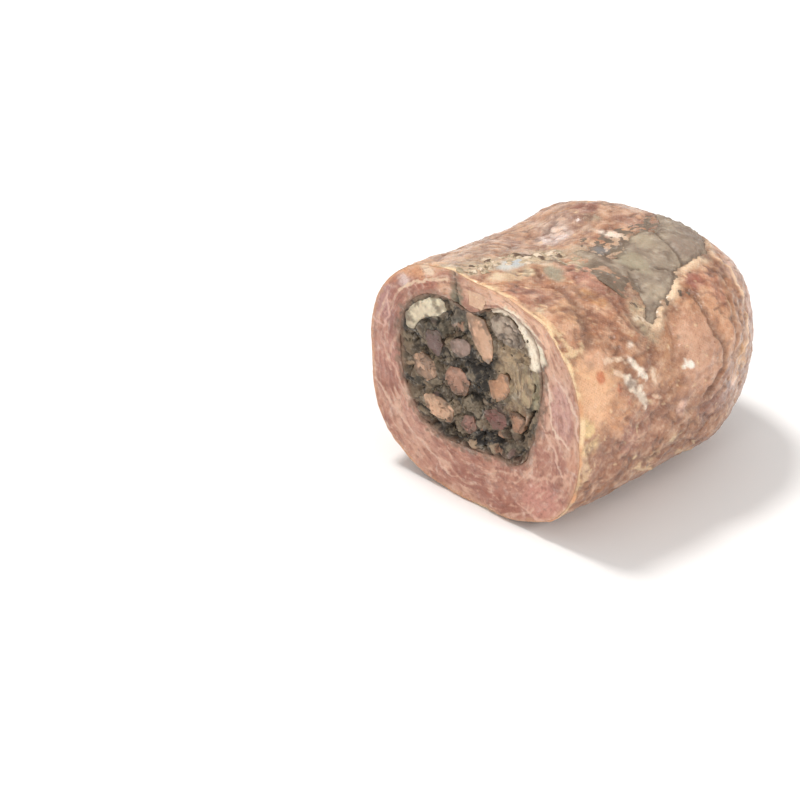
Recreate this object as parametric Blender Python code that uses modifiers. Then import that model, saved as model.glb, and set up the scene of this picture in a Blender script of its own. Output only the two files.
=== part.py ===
"""A cooked chicken roulade with one cut end, lying on its side.

The roll of meat and skin lies along Y with its cut at the low end, and it sags to a flat foot.
A dark stuffing runs through it, reaches the top along the seam and shows where the skin is torn.
The pieces of liver, meat and fat that show in the cut are solids of their own, set in the stuffing.
The origin is the middle of the foot, +Y runs from the cut to the closed end and +Z is up.
"""

import math

import bmesh
import bpy
from mathutils import Vector, noise

MM = 0.001  # every size below is in millimetres

# The roll. "Along" is the distance from the cut, and "turn" is the angle round the axis from +X towards the top.
ROLL_LENGTH = 112.0
HALF_WIDTH = 47.5
HALF_HEIGHT = 41.5
SQUARENESS = 2.6
MIDDLE_WIDER = 0.03
MIDDLE_LOWER = 0.045
END_LENGTH = 47.0
END_FULLNESS = 2.15
END_DROP = 0.15
FOOT_SAG = 0.8
RIM_ROUNDING = 1.6
UNEVEN_DEPTH = 1.1
UNEVEN_SIZE = 17.0
CUT_WAVE_DEPTH = 0.45
CUT_WAVE_SIZE = 11.0

# Swells and dips of the roll's side: degrees from the top towards +X, along, height, spread in degrees, spread along.
SWELLS = (
    (-28.0, 76.0, 1.0, 15.0, 9.0),
    (-27.0, 47.0, -3.4, 20.0, 12.0),
    (76.0, 59.0, 1.6, 15.0, 12.0),
    (52.0, 30.0, 0.9, 16.0, 9.0),
    (100.0, 82.0, -1.4, 14.0, 9.0),
    (-95.0, 40.0, 1.3, 22.0, 14.0),
    (-78.0, 74.0, -1.2, 18.0, 9.0),
)

# The stuffing's outline in the cut: turn in degrees and distance from the section's middle.
STUFFING_EDGE = (
    (10.8, 29.6),
    (32.0, 34.7),
    (48.5, 39.4),
    (68.9, 37.7),
    (92.0, 29.7),
    (117.0, 34.1),
    (138.3, 37.0),
    (154.5, 36.1),
    (170.7, 33.3),
    (198.6, 30.9),
    (227.7, 26.9),
    (260.4, 20.7),
    (297.1, 21.4),
    (319.3, 27.3),
    (342.9, 27.3),
)
STUFFING_LENGTH = 97.0
STUFFING_END_LENGTH = 30.0
STUFFING_SET_BACK = 0.5
CRAG_DEPTH = 1.0
CRAG_SIZE = 5.0
STUFFING_SUNK = 0.9

# Where the stuffing shows outside: along, and the left and right edge in degrees from the top towards +X.
OPENING = (
    (0.0, -15.0, -8.0),
    (14.0, -13.0, -5.0),
    (28.0, -10.0, -1.0),
    (39.0, -4.0, 8.0),
    (46.0, 8.0, 33.0),
    (50.0, 19.0, 50.0),
    (56.0, 21.0, 47.0),
    (62.0, 14.0, 42.0),
    (68.0, 11.0, 41.0),
    (75.0, 16.0, 40.0),
    (82.0, 10.0, 39.5),
    (88.0, -1.0, 34.0),
    (92.0, -8.0, 29.0),
)
OPENING_END = 96.5
OPENING_WALL = 1.2  # degrees that its wall leans over
WALL_FOOT_RADIUS = 20.0  # turns the gap beside the wall into an angle

# The pieces in the cut, as x and height of their corners, then how far they run back and how proud they stand.
PIECES = {
    "long_tan_piece": (
        ((-2.8, 68.9), (0.4, 69.2), (3.6, 68.9), (5.8, 65.9), (7.2, 62.6), (7.2, 56.1), (5.8, 54.5),
         (3.3, 56.9), (0.8, 60.3), (-1.2, 62.9)),
        17.0, 0.5, (0.72, 0.54, 0.43)),
    "pink_grey_piece": (
        ((-10.6, 55.7), (-8.0, 58.3), (-3.6, 59.3), (-1.1, 57.4), (-1.6, 54.7), (-5.6, 52.1), (-9.3, 52.7)),
        12.0, 0.3, (0.56, 0.45, 0.42)),
    "tan_piece": (
        ((12.2, 53.3), (15.2, 53.3), (16.2, 48.1), (14.3, 44.5), (10.6, 41.9), (8.3, 43.3), (6.6, 48.3), (10.2, 49.7)),
        14.0, 0.6, (0.73, 0.53, 0.40)),
    "mauve_piece": (
        ((-22.0, 56.3), (-14.8, 58.3), (-14.0, 52.3), (-15.6, 48.1), (-20.5, 49.9)),
        13.0, 0.1, (0.40, 0.31, 0.32)),
    "fat_strip": (
        ((-30.0, 54.7), (-30.4, 59.2), (-26.2, 64.1), (-19.1, 68.3), (-14.7, 69.1), (-12.9, 66.3),
         (-18.0, 63.5), (-24.6, 60.5), (-26.9, 58.0), (-27.2, 54.7)),
        20.0, 0.4, (0.82, 0.76, 0.62)),
    "beige_top_piece": (
        ((-2.6, 77.3), (0.2, 78.1), (3.6, 77.9), (4.9, 76.3), (4.1, 72.7), (0.7, 72.2), (-2.3, 72.5)),
        15.0, 0.2, (0.76, 0.60, 0.48)),
    "grey_swirl_piece": (
        ((7.0, 71.3), (10.3, 73.7), (15.3, 73.9), (20.2, 71.3), (22.6, 67.3), (20.3, 64.7), (14.4, 63.9),
         (9.4, 64.7), (7.4, 67.9)),
        11.0, 0.5, (0.42, 0.36, 0.31)),
    "olive_piece": (
        ((18.0, 59.7), (24.4, 60.5), (26.4, 53.3), (25.0, 45.1), (19.6, 44.5), (18.6, 51.3)),
        18.0, 0.2, (0.47, 0.41, 0.29)),
    "brown_piece": (
        ((15.6, 40.5), (19.4, 41.5), (23.4, 39.7), (21.8, 34.6), (18.0, 34.3), (17.1, 37.8)),
        10.0, 0.3, (0.60, 0.43, 0.32)),
    "red_brown_piece": (
        ((4.4, 36.3), (8.6, 39.1), (14.2, 38.9), (15.2, 35.7), (13.6, 33.0), (8.6, 31.7)),
        12.0, 0.2, (0.50, 0.31, 0.28)),
    "pale_left_piece": (
        ((-27.3, 45.3), (-23.3, 47.5), (-17.6, 46.1), (-16.0, 41.3), (-20.3, 37.9), (-26.3, 39.3)),
        14.0, 0.5, (0.77, 0.61, 0.49)),
    "tan_low_piece": (
        ((-10.8, 47.3), (-5.3, 47.8), (-1.3, 44.3), (-2.8, 38.8), (-8.3, 37.8), (-12.3, 41.8)),
        15.0, 0.3, (0.68, 0.50, 0.41)),
    "beige_low_piece": (
        ((-22.3, 32.8), (-14.3, 34.3), (-8.4, 31.8), (-8.8, 26.9), (-15.3, 25.5), (-21.3, 27.9)),
        12.0, 0.6, (0.79, 0.64, 0.52)),
    "pink_low_piece": (
        ((-3.3, 32.3), (1.1, 32.7), (2.0, 27.9), (-1.3, 25.3), (-5.2, 27.5)),
        11.0, 0.3, (0.69, 0.49, 0.44)),
}
PIECE_IN_THE_MEAT = "beige_top_piece"
PIECE_TAPER = 0.72
PIECE_ROUNDING = 0.7
PIECE_LEAN = 0.05

CLEARANCE = 0.45  # between the roll and the stuffing
POCKET_CLEARANCE = 0.35  # round each piece
CUTTER_REACH = 5.0  # how far a cutter runs out past what it cuts

# The mesh: segments round the axis, then the rings of the roll and of the stuffing.
ROLL_SEGMENTS = 60
ROLL_SIDE_STEPS = 13
ROLL_END_STEPS = 9
OPENING_SEGMENTS = 8
STUFFING_SEGMENTS = 46
STUFFING_SIDE_STEPS = 17
STUFFING_END_STEPS = 8

MEAT_COLOUR = (0.66, 0.44, 0.36)
MEAT_ROUGHNESS = 0.45
STUFFING_COLOUR = (0.22, 0.20, 0.16)
STUFFING_ROUGHNESS = 0.6
PIECE_ROUGHNESS = 0.4
MOST_PROUD = 0.9  # of the pieces in the cut, with their lean
ORIGIN_ALONG = (ROLL_LENGTH - MOST_PROUD) / 2


def smooth_step(low, high, value):
    """0 below low, 1 above high, and a smooth rise between them."""
    share = min(1.0, max(0.0, (value - low) / (high - low)))
    return share * share * (3 - 2 * share)


def unevenness(x, y, z, size):
    """Smooth noise between about -1 and 1, with lumps of the given size."""
    return noise.noise(Vector((x / size, y / size, z / size)))


def on_closed_curve(points, turn):
    """The smooth closed curve through (degrees, distance) points, read at an angle in radians."""
    degrees = math.degrees(turn) % 360
    laps = [(angle + 360 * lap, distance) for lap in (-1, 0, 1) for angle, distance in points]
    after = next(i for i, (angle, _) in enumerate(laps) if angle > degrees)
    (a0, d0), (a1, d1), (a2, d2), (a3, d3) = laps[after - 2 : after + 2]
    span = a2 - a1
    slope1 = (d2 - d0) / (a2 - a0) * span
    slope2 = (d3 - d1) / (a3 - a1) * span
    t = (degrees - a1) / span
    return (
        (2 * t**3 - 3 * t**2 + 1) * d1
        + (t**3 - 2 * t**2 + t) * slope1
        + (3 * t**2 - 2 * t**3) * d2
        + (t**3 - t**2) * slope2
    )


def from_stations(stations, along):
    """The row of station values at a distance along, worked out between the two nearest stations."""
    if along <= stations[0][0]:
        return stations[0][1:]
    for before, after in zip(stations, stations[1:]):
        if along <= after[0]:
            share = (along - before[0]) / (after[0] - before[0])
            return tuple(a + (b - a) * share for a, b in zip(before[1:], after[1:]))
    return stations[-1][1:]


def end_closing(along, full_length, end_length, fullness):
    """1 along the body, and the falling edge of a superellipse over its rounded end."""
    t = min(1.0, max(0.0, (along - (full_length - end_length)) / end_length))
    return (1 - t**fullness) ** (1 / fullness)


def middle_share(along):
    """0 at both ends of the roll and 1 half way."""
    return math.sin(math.pi * min(1.0, max(0.0, along / ROLL_LENGTH)))


def half_height(along):
    return HALF_HEIGHT * (1 - MIDDLE_LOWER * middle_share(along))


def axis_height(along):
    """Height of the section's middle: the closed end droops a little."""
    closing = end_closing(along, ROLL_LENGTH, END_LENGTH, END_FULLNESS)
    return half_height(along) * (1 - END_DROP * (1 - closing)) - FOOT_SAG


def degrees_from_top(turn):
    return (90 - math.degrees(turn) + 180) % 360 - 180


def roll_radius(turn, along):
    """Distance from the section's middle to the roll's surface."""
    wide = HALF_WIDTH * (1 + MIDDLE_WIDER * middle_share(along))
    across = abs(math.cos(turn) / wide) ** SQUARENESS
    upright = abs(math.sin(turn) / half_height(along)) ** SQUARENESS
    radius = (across + upright) ** (-1 / SQUARENESS)
    closing = end_closing(along, ROLL_LENGTH, END_LENGTH, END_FULLNESS)
    lean = degrees_from_top(turn)
    swell = 0.0
    for at_lean, at_along, height, lean_spread, along_spread in SWELLS:
        apart = (lean - at_lean + 180) % 360 - 180
        swell += height * math.exp(-((apart / lean_spread) ** 2) - ((along - at_along) / along_spread) ** 2)
    x, z = radius * math.cos(turn), radius * math.sin(turn)
    swell += UNEVEN_DEPTH * unevenness(x, along, z, UNEVEN_SIZE)
    return (radius + swell) * closing


def roll_point(share, turn, along):
    """A point of the roll at a share of its radius, kept above the foot's plane."""
    radius = share * roll_radius(turn, along)
    height = axis_height(along) + radius * math.sin(turn)
    return radius * math.cos(turn), along, max(0.0, height)


def stuffing_turn(index, along, gap):
    """The turn of one of the stuffing's segments: the first few lie across the opening, between its walls."""
    left, right = from_stations(OPENING, along)
    wall = math.radians(OPENING_WALL)
    low = math.radians(90 - right) - gap / WALL_FOOT_RADIUS
    high = math.radians(90 - left) + gap / WALL_FOOT_RADIUS
    if index == 0:
        return low
    if index <= OPENING_SEGMENTS + 1:
        return low + wall + (high - low - 2 * wall) * (index - 1) / OPENING_SEGMENTS
    rest = STUFFING_SEGMENTS - OPENING_SEGMENTS - 2
    return high + (2 * math.pi - (high - low)) * (index - OPENING_SEGMENTS - 2) / rest


def core_radius(turn, along):
    """Distance from the section's middle to the side of the stuffing's core."""
    section = roll_radius(turn, along) / roll_radius(turn, 0.0)
    closing = end_closing(along, STUFFING_LENGTH, STUFFING_END_LENGTH, END_FULLNESS)
    return on_closed_curve(STUFFING_EDGE, turn) * min(1.0, section) * closing


def stuffing_radius(index, along, proud, gap):
    """The core, and across the opening its rise to the roll's surface plus proud."""
    turn = stuffing_turn(index, along, gap)
    core = core_radius(turn, along) + gap
    if not 1 <= index <= OPENING_SEGMENTS + 1:
        return core
    closed = smooth_step(OPENING[-1][0], OPENING_END, along)
    return core + (roll_radius(turn, along) + proud - core) * (1 - closed)


def cut_wave(x, z):
    """Low waves that the knife left in the meat of the cut."""
    return CUT_WAVE_DEPTH * unevenness(x, 3.0, z, CUT_WAVE_SIZE)


def crags(x, z):
    """The stuffing's rough face in the cut."""
    rough = unevenness(x, 40.0, z, CRAG_SIZE) + 0.5 * unevenness(x, 80.0, z, CRAG_SIZE / 2)
    return STUFFING_SET_BACK + CRAG_DEPTH * rough


def moulded_ball(name, segments, stations, place):
    """A ball primitive whose points are moved by place(station, segment), ring by ring and round each ring."""
    mesh = bpy.data.meshes.new(name)
    shaped = bmesh.new()
    rings = len(stations) - 1
    bmesh.ops.create_uvsphere(shaped, u_segments=segments, v_segments=rings, radius=1.0)
    for vert in shaped.verts:
        ring = round(math.acos(min(1.0, max(-1.0, vert.co.z))) / math.pi * rings)
        index = round(math.atan2(-vert.co.x, vert.co.y) / (2 * math.pi) * segments) % segments
        x, along, z = place(stations[ring], index)
        vert.co = Vector((x, along - ORIGIN_ALONG, z)) * MM
    bmesh.ops.triangulate(shaped, faces=shaped.faces, quad_method="FIXED")
    shaped.normal_update()
    bmesh.ops.recalc_face_normals(shaped, faces=shaped.faces)
    shaped.to_mesh(mesh)
    shaped.free()
    return bpy.data.objects.new(name, mesh)


def steps(low, high, count):
    return [low + (high - low) * i / count for i in range(1, count + 1)]


def roll_stations():
    """(share of the radius, along): the cut's rings, the rounded rim, the side and the closed end."""
    cut = [(share, 0.0) for share in (0.0, 0.3, 0.55, 0.72, 0.84, 0.93)]
    rim = [(1 - 0.6 * RIM_ROUNDING / HALF_WIDTH, 0.15 * RIM_ROUNDING), (1.0, RIM_ROUNDING)]
    side = [(1.0, along) for along in steps(RIM_ROUNDING, ROLL_LENGTH - END_LENGTH, ROLL_SIDE_STEPS)]
    end = []
    for angle in steps(0.0, math.pi / 2, ROLL_END_STEPS):
        end.append((1.0, ROLL_LENGTH - END_LENGTH + END_LENGTH * math.sin(angle)))
    return cut + rim + side + end


def make_roll():
    def place(station, index):
        share, along = station
        x, _, z = roll_point(share, 2 * math.pi * index / ROLL_SEGMENTS, along)
        if share < 1.0:
            along += cut_wave(x, z)
        return x, along, z

    return moulded_ball("chicken_roll", ROLL_SEGMENTS, roll_stations(), place)


def stuffing_stations(front, gap):
    """(share of the radius, along) from the middle of the front to the stuffing's far tip."""
    stations = [(share, front) for share in (0.0, 0.2, 0.4, 0.58, 0.75, 0.9, 1.0)]
    if front < 0.0:
        stations.append((1.0, 0.0))
    body_end = STUFFING_LENGTH - STUFFING_END_LENGTH
    stations += [(1.0, along) for along in steps(0.0, body_end, STUFFING_SIDE_STEPS)]
    for angle in steps(0.0, math.pi / 2, STUFFING_END_STEPS):
        stations.append((1.0, body_end + STUFFING_END_LENGTH * math.sin(angle)))
    stations.append((0.0, STUFFING_LENGTH + gap))
    return stations


def make_stuffing(name, front, proud, gap):
    """The stuffing, or with a gap the cutter that leaves room for it in the roll."""

    def place(station, index):
        share, along = station
        inside = min(STUFFING_LENGTH, max(0.0, along))
        turn = stuffing_turn(index, inside, gap)
        radius = share * stuffing_radius(index, inside, proud, gap)
        x, z = radius * math.cos(turn), radius * math.sin(turn) + axis_height(inside)
        if along == front and not gap:
            along += crags(x, z) * (1 - 0.6 * smooth_step(0.8, 1.0, share))
        return x, along, z

    return moulded_ball(name, STUFFING_SEGMENTS, stuffing_stations(front, gap), place)


def outward(corners, index):
    """The way out of an outline at one corner, long enough to move both its edges by 1."""
    before, here, after = (Vector(corners[(index + step) % len(corners)]) for step in (-1, 0, 1))
    area = sum(a[0] * b[1] - b[0] * a[1] for a, b in zip(corners, corners[1:] + corners[:1]))
    side = 1.0 if area > 0 else -1.0
    arriving, leaving = (here - before).normalized(), (after - here).normalized()
    first = Vector((arriving.y, -arriving.x)) * side
    second = Vector((leaving.y, -leaving.x)) * side
    return (first + second) / (1 + first.dot(second))


def make_piece(name, corners, depth, proud, reach=0.0, grown=0.0):
    """A prism from the cylinder primitive with its corners moved to the piece's outline, narrower at the back.

    A cutter for the piece has the same sides, grown, and reaches further out in front of the cut.
    """
    count = len(corners)
    middle = Vector((sum(x for x, _ in corners) / count, sum(z for _, z in corners) / count))
    mesh = bpy.data.meshes.new(name)
    shaped = bmesh.new()
    bmesh.ops.create_cone(shaped, cap_ends=True, segments=count, radius1=1.0, radius2=1.0, depth=1.0)
    for vert in shaped.verts:
        turn = math.atan2(vert.co.x, vert.co.y)
        index = round(turn / (2 * math.pi) * count) % count
        corner = Vector(corners[index]) - middle
        along = -proud - reach if vert.co.z < 0 else depth + grown
        narrowed = 1 - (1 - PIECE_TAPER) * (along + proud) / (depth + proud)
        flat = middle + corner * narrowed + outward(corners, index) * grown
        if vert.co.z < 0:
            along += PIECE_LEAN * corner.y
        vert.co = Vector((flat.x, along - ORIGIN_ALONG, flat.y)) * MM
    shaped.normal_update()
    bmesh.ops.recalc_face_normals(shaped, faces=shaped.faces)
    shaped.to_mesh(mesh)
    shaped.free()
    piece = bpy.data.objects.new(name, mesh)
    if not grown:
        rounding = piece.modifiers.new("rounding", "BEVEL")
        rounding.width = PIECE_ROUNDING * MM
        rounding.segments = 1
        rounding.limit_method = "ANGLE"
    return piece


def cut_from(obj, cutter):
    """Subtracts a cutter from an object, and leaves the result in the object's mesh."""
    carve = obj.modifiers.new("carve", "BOOLEAN")
    carve.operation = "DIFFERENCE"
    carve.solver = "EXACT"
    carve.object = cutter
    graph = bpy.context.evaluated_depsgraph_get()
    carved = bpy.data.meshes.new_from_object(obj.evaluated_get(graph))
    obj.modifiers.remove(carve)
    obj.data = carved


def finish(obj, colour, roughness):
    material = bpy.data.materials.new(obj.name)
    material.use_nodes = True
    shader = material.node_tree.nodes["Principled BSDF"]
    shader.inputs["Base Color"].default_value = (*colour, 1.0)
    shader.inputs["Roughness"].default_value = roughness
    shader.inputs["Metallic"].default_value = 0.0
    obj.data.materials.clear()
    obj.data.materials.append(material)
    obj.data.shade_smooth()
    obj.data.set_sharp_from_angle(angle=math.radians(40))


def main():
    for obj in list(bpy.data.objects):
        bpy.data.objects.remove(obj)
    parts = bpy.data.collections.new("chicken_roulade")
    cutters = bpy.data.collections.new("cutters")
    for collection in (parts, cutters):
        bpy.context.scene.collection.children.link(collection)

    def add_cutter(obj):
        cutters.objects.link(obj)
        obj.hide_render = True
        obj.display_type = "WIRE"
        return obj

    roll = make_roll()
    stuffing = make_stuffing("stuffing", 0.0, -STUFFING_SUNK, 0.0)
    channel = add_cutter(make_stuffing("channel", -CUTTER_REACH, CUTTER_REACH, CLEARANCE))
    for obj in (roll, stuffing):
        parts.objects.link(obj)
    cut_from(roll, channel)

    for name, (corners, depth, proud, colour) in PIECES.items():
        piece = make_piece(name, corners, depth, proud)
        parts.objects.link(piece)
        pocket = add_cutter(make_piece(name + "_pocket", corners, depth, proud, CUTTER_REACH, POCKET_CLEARANCE))
        holder = roll if name == PIECE_IN_THE_MEAT else stuffing
        cut_from(holder, pocket)
        finish(piece, colour, PIECE_ROUGHNESS)
    finish(roll, MEAT_COLOUR, MEAT_ROUGHNESS)
    finish(stuffing, STUFFING_COLOUR, STUFFING_ROUGHNESS)


main()
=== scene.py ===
"""A cooked chicken roulade: the skin, the cut meat, the stuffing and the pieces of liver and fat in it."""

import math
from types import SimpleNamespace

import bpy
import numpy as np
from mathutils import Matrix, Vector, noise


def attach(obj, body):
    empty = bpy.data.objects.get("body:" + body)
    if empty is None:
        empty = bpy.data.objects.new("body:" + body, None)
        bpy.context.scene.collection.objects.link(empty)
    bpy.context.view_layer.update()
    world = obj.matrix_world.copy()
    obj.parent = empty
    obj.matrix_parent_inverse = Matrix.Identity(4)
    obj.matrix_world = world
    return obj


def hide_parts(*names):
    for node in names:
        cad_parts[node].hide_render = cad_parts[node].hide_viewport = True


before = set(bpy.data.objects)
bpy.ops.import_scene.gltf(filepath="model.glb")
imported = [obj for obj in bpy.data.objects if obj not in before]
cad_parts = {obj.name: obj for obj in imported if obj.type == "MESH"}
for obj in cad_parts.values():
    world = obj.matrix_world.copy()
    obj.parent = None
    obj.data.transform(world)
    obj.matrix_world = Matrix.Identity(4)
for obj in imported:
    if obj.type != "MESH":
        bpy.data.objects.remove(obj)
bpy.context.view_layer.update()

MM = 0.001  # sizes below are in millimetres, and turned to metres when a mesh is made
SEED = 11

# The roll's form, as the frame has it. "Along" is the distance from the cut, "turn" the angle from +X to the
# top, and "lean" the degrees from the top towards +X.
ROLL_LENGTH = 112.0
HALF_WIDTH = 47.5
HALF_HEIGHT = 41.5
SQUARENESS = 2.6
MIDDLE_WIDER = 0.03
MIDDLE_LOWER = 0.045
END_LENGTH = 47.0
END_FULLNESS = 2.15
END_DROP = 0.15
FOOT_SAG = 0.8
UNEVEN_DEPTH = 1.1
UNEVEN_SIZE = 17.0
ORIGIN_ALONG = 55.55  # how far the origin lies from the cut
MM_PER_DEGREE = 0.76  # of lean, round the skin
# Swells and hollows: lean, along, height, and how far they spread in lean and along.
SWELLS = (
    (-28.0, 76.0, 1.0, 15.0, 9.0),
    (-27.0, 47.0, -3.4, 20.0, 12.0),
    (76.0, 59.0, 1.6, 15.0, 12.0),
    (52.0, 30.0, 0.9, 16.0, 9.0),
    (100.0, 82.0, -1.4, 14.0, 9.0),
    (-95.0, 40.0, 1.3, 22.0, 14.0),
    (-78.0, 74.0, -1.2, 18.0, 9.0),
)
# The stuffing's outline in the cut: degrees of turn and distance from the section's middle.
STUFFING_EDGE = (
    (10.8, 29.6), (32.0, 34.7), (48.5, 39.4), (68.9, 37.7), (92.0, 29.7),
    (117.0, 34.1), (138.3, 37.0), (154.5, 36.1), (170.7, 33.3), (198.6, 30.9),
    (227.7, 26.9), (260.4, 20.7), (297.1, 21.4), (319.3, 27.3), (342.9, 27.3),
)
STUFFING_LENGTH = 97.0
STUFFING_END_LENGTH = 30.0
# The opening in the skin: along, and the lean of its left and right edge. It is the seam up to about 40 mm.
OPENING = (
    (0.0, -15.0, -8.0),
    (14.0, -13.0, -5.0),
    (28.0, -10.0, -1.0),
    (39.0, -4.0, 8.0),
    (46.0, 8.0, 33.0),
    (50.0, 19.0, 50.0),
    (56.0, 21.0, 47.0),
    (62.0, 14.0, 42.0),
    (68.0, 11.0, 41.0),
    (75.0, 16.0, 40.0),
    (82.0, 10.0, 39.5),
    (88.0, -1.0, 34.0),
    (92.0, -8.0, 29.0),
    (97.0, -9.0, 21.0),
)
# The corner that the torn place runs out into, as lean and along.
TORN_CORNER = (
    (26.0, 49.0), (33.0, 46.5), (42.0, 43.8), (50.0, 41.0),
    (53.5, 37.0), (56.0, 40.5), (53.0, 46.0), (49.0, 51.0),
)
# The bed of filling under the opening: along, and the lean of its left and right edge.
BED_EDGES = (
    (0.0, -16.0, -6.0), (20.0, -14.0, -1.0), (34.0, -11.0, 10.0), (38.0, -8.0, 58.0), (54.0, -4.0, 56.0),
    (70.0, 4.0, 48.0), (80.0, 2.0, 46.0), (90.0, -12.0, 40.0), (98.0, -14.0, 30.0),
)
BED_LENGTH = 98.2
BED_MIDDLE = 49.5

# Layers: the skin is thin where it is cut through, and reaches its full thickness behind the cut.
SKIN_THICK = 3.4
SKIN_THICKENS_FROM = 0.8
SKIN_THICKENS_OVER = 9.0
SKIN_TO_MEAT = 0.15
RIM_TO_MEAT = 0.04
MEAT_TO_STUFFING = 0.2
FACE_TO_STUFFING = 0.03
STUFFING_SET_BACK = 0.5
CUT_WAVE_DEPTH = 0.45
CUT_WAVE_SIZE = 11.0

# Rings of points: how many round the roll, and where they lie along it.
SEGMENTS = 440
STUFFING_SEGMENTS = 400
BED_SEGMENTS = 220
END_RINGS = 92
SIDE_RINGS = 94
SIDE_TO = 1.6
FACE_RINGS = 72
# The skin's rim as along and share of its thickness, and the rings inside it.
SKIN_RIM = (
    (1.1, 0.05), (0.7, 0.15), (0.35, 0.35), (0.12, 0.6), (0.02, 0.8), (0.05, 0.95), (0.3, 1.0), (0.8, 1.02),
)
SKIN_INSIDE = (2.0, 4.0, 6.5, 9.0, 16.0, 28.0, 42.0, 54.0, 65.0, 80.0, 92.0, 102.0, 109.0, 112.0)
MEAT_OUTSIDE = (112.0, 110.0, 106.0, 99.0, 90.0, 78.0, 65.0, 50.0, 36.0, 24.0, 16.0, 11.0, 9.0, 6.5, 4.0, 2.4)
MEAT_HOLE = (1.5, 4.0, 9.0, 18.0, 30.0, 45.0, 60.0, 67.0, 78.0, 87.0, 93.0, 96.0, 97.0)
STUFFING_SIDE = (3.5, 8.0, 16.0, 26.0, 38.0, 52.0, 67.0, 78.0, 87.0, 93.0, 96.0, 96.8)
OUTLINE_POINTS = 120

# Colours, as they look on a screen.
TAN = (191, 137, 99)
REDDISH = (160, 101, 76)
PALE = (216, 170, 134)
BROWN = (136, 91, 65)
DARK_RED = (118, 70, 54)
VEIN_BROWN = (112, 72, 54)
PINK = (192, 139, 115)
ORANGE = (216, 142, 98)
CREAM = (240, 208, 164)
WHITE_FAT = (244, 228, 210)
# Painted sheen: a whitish mauve where the wet skin shines.
MAUVE_WHITE_SHEEN = (226, 206, 198)
WARM_GREY = (151, 135, 118)
# Painted shade at the bottom of the skin's creases and pits, and in the gap where the meat parts from the
# stuffing.
CREVICE_SHADE = (48, 34, 27)
# Painted shade deep in the cracks of the cut meat and stuffing.
CRACK_SHADE = (40, 32, 27)

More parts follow.
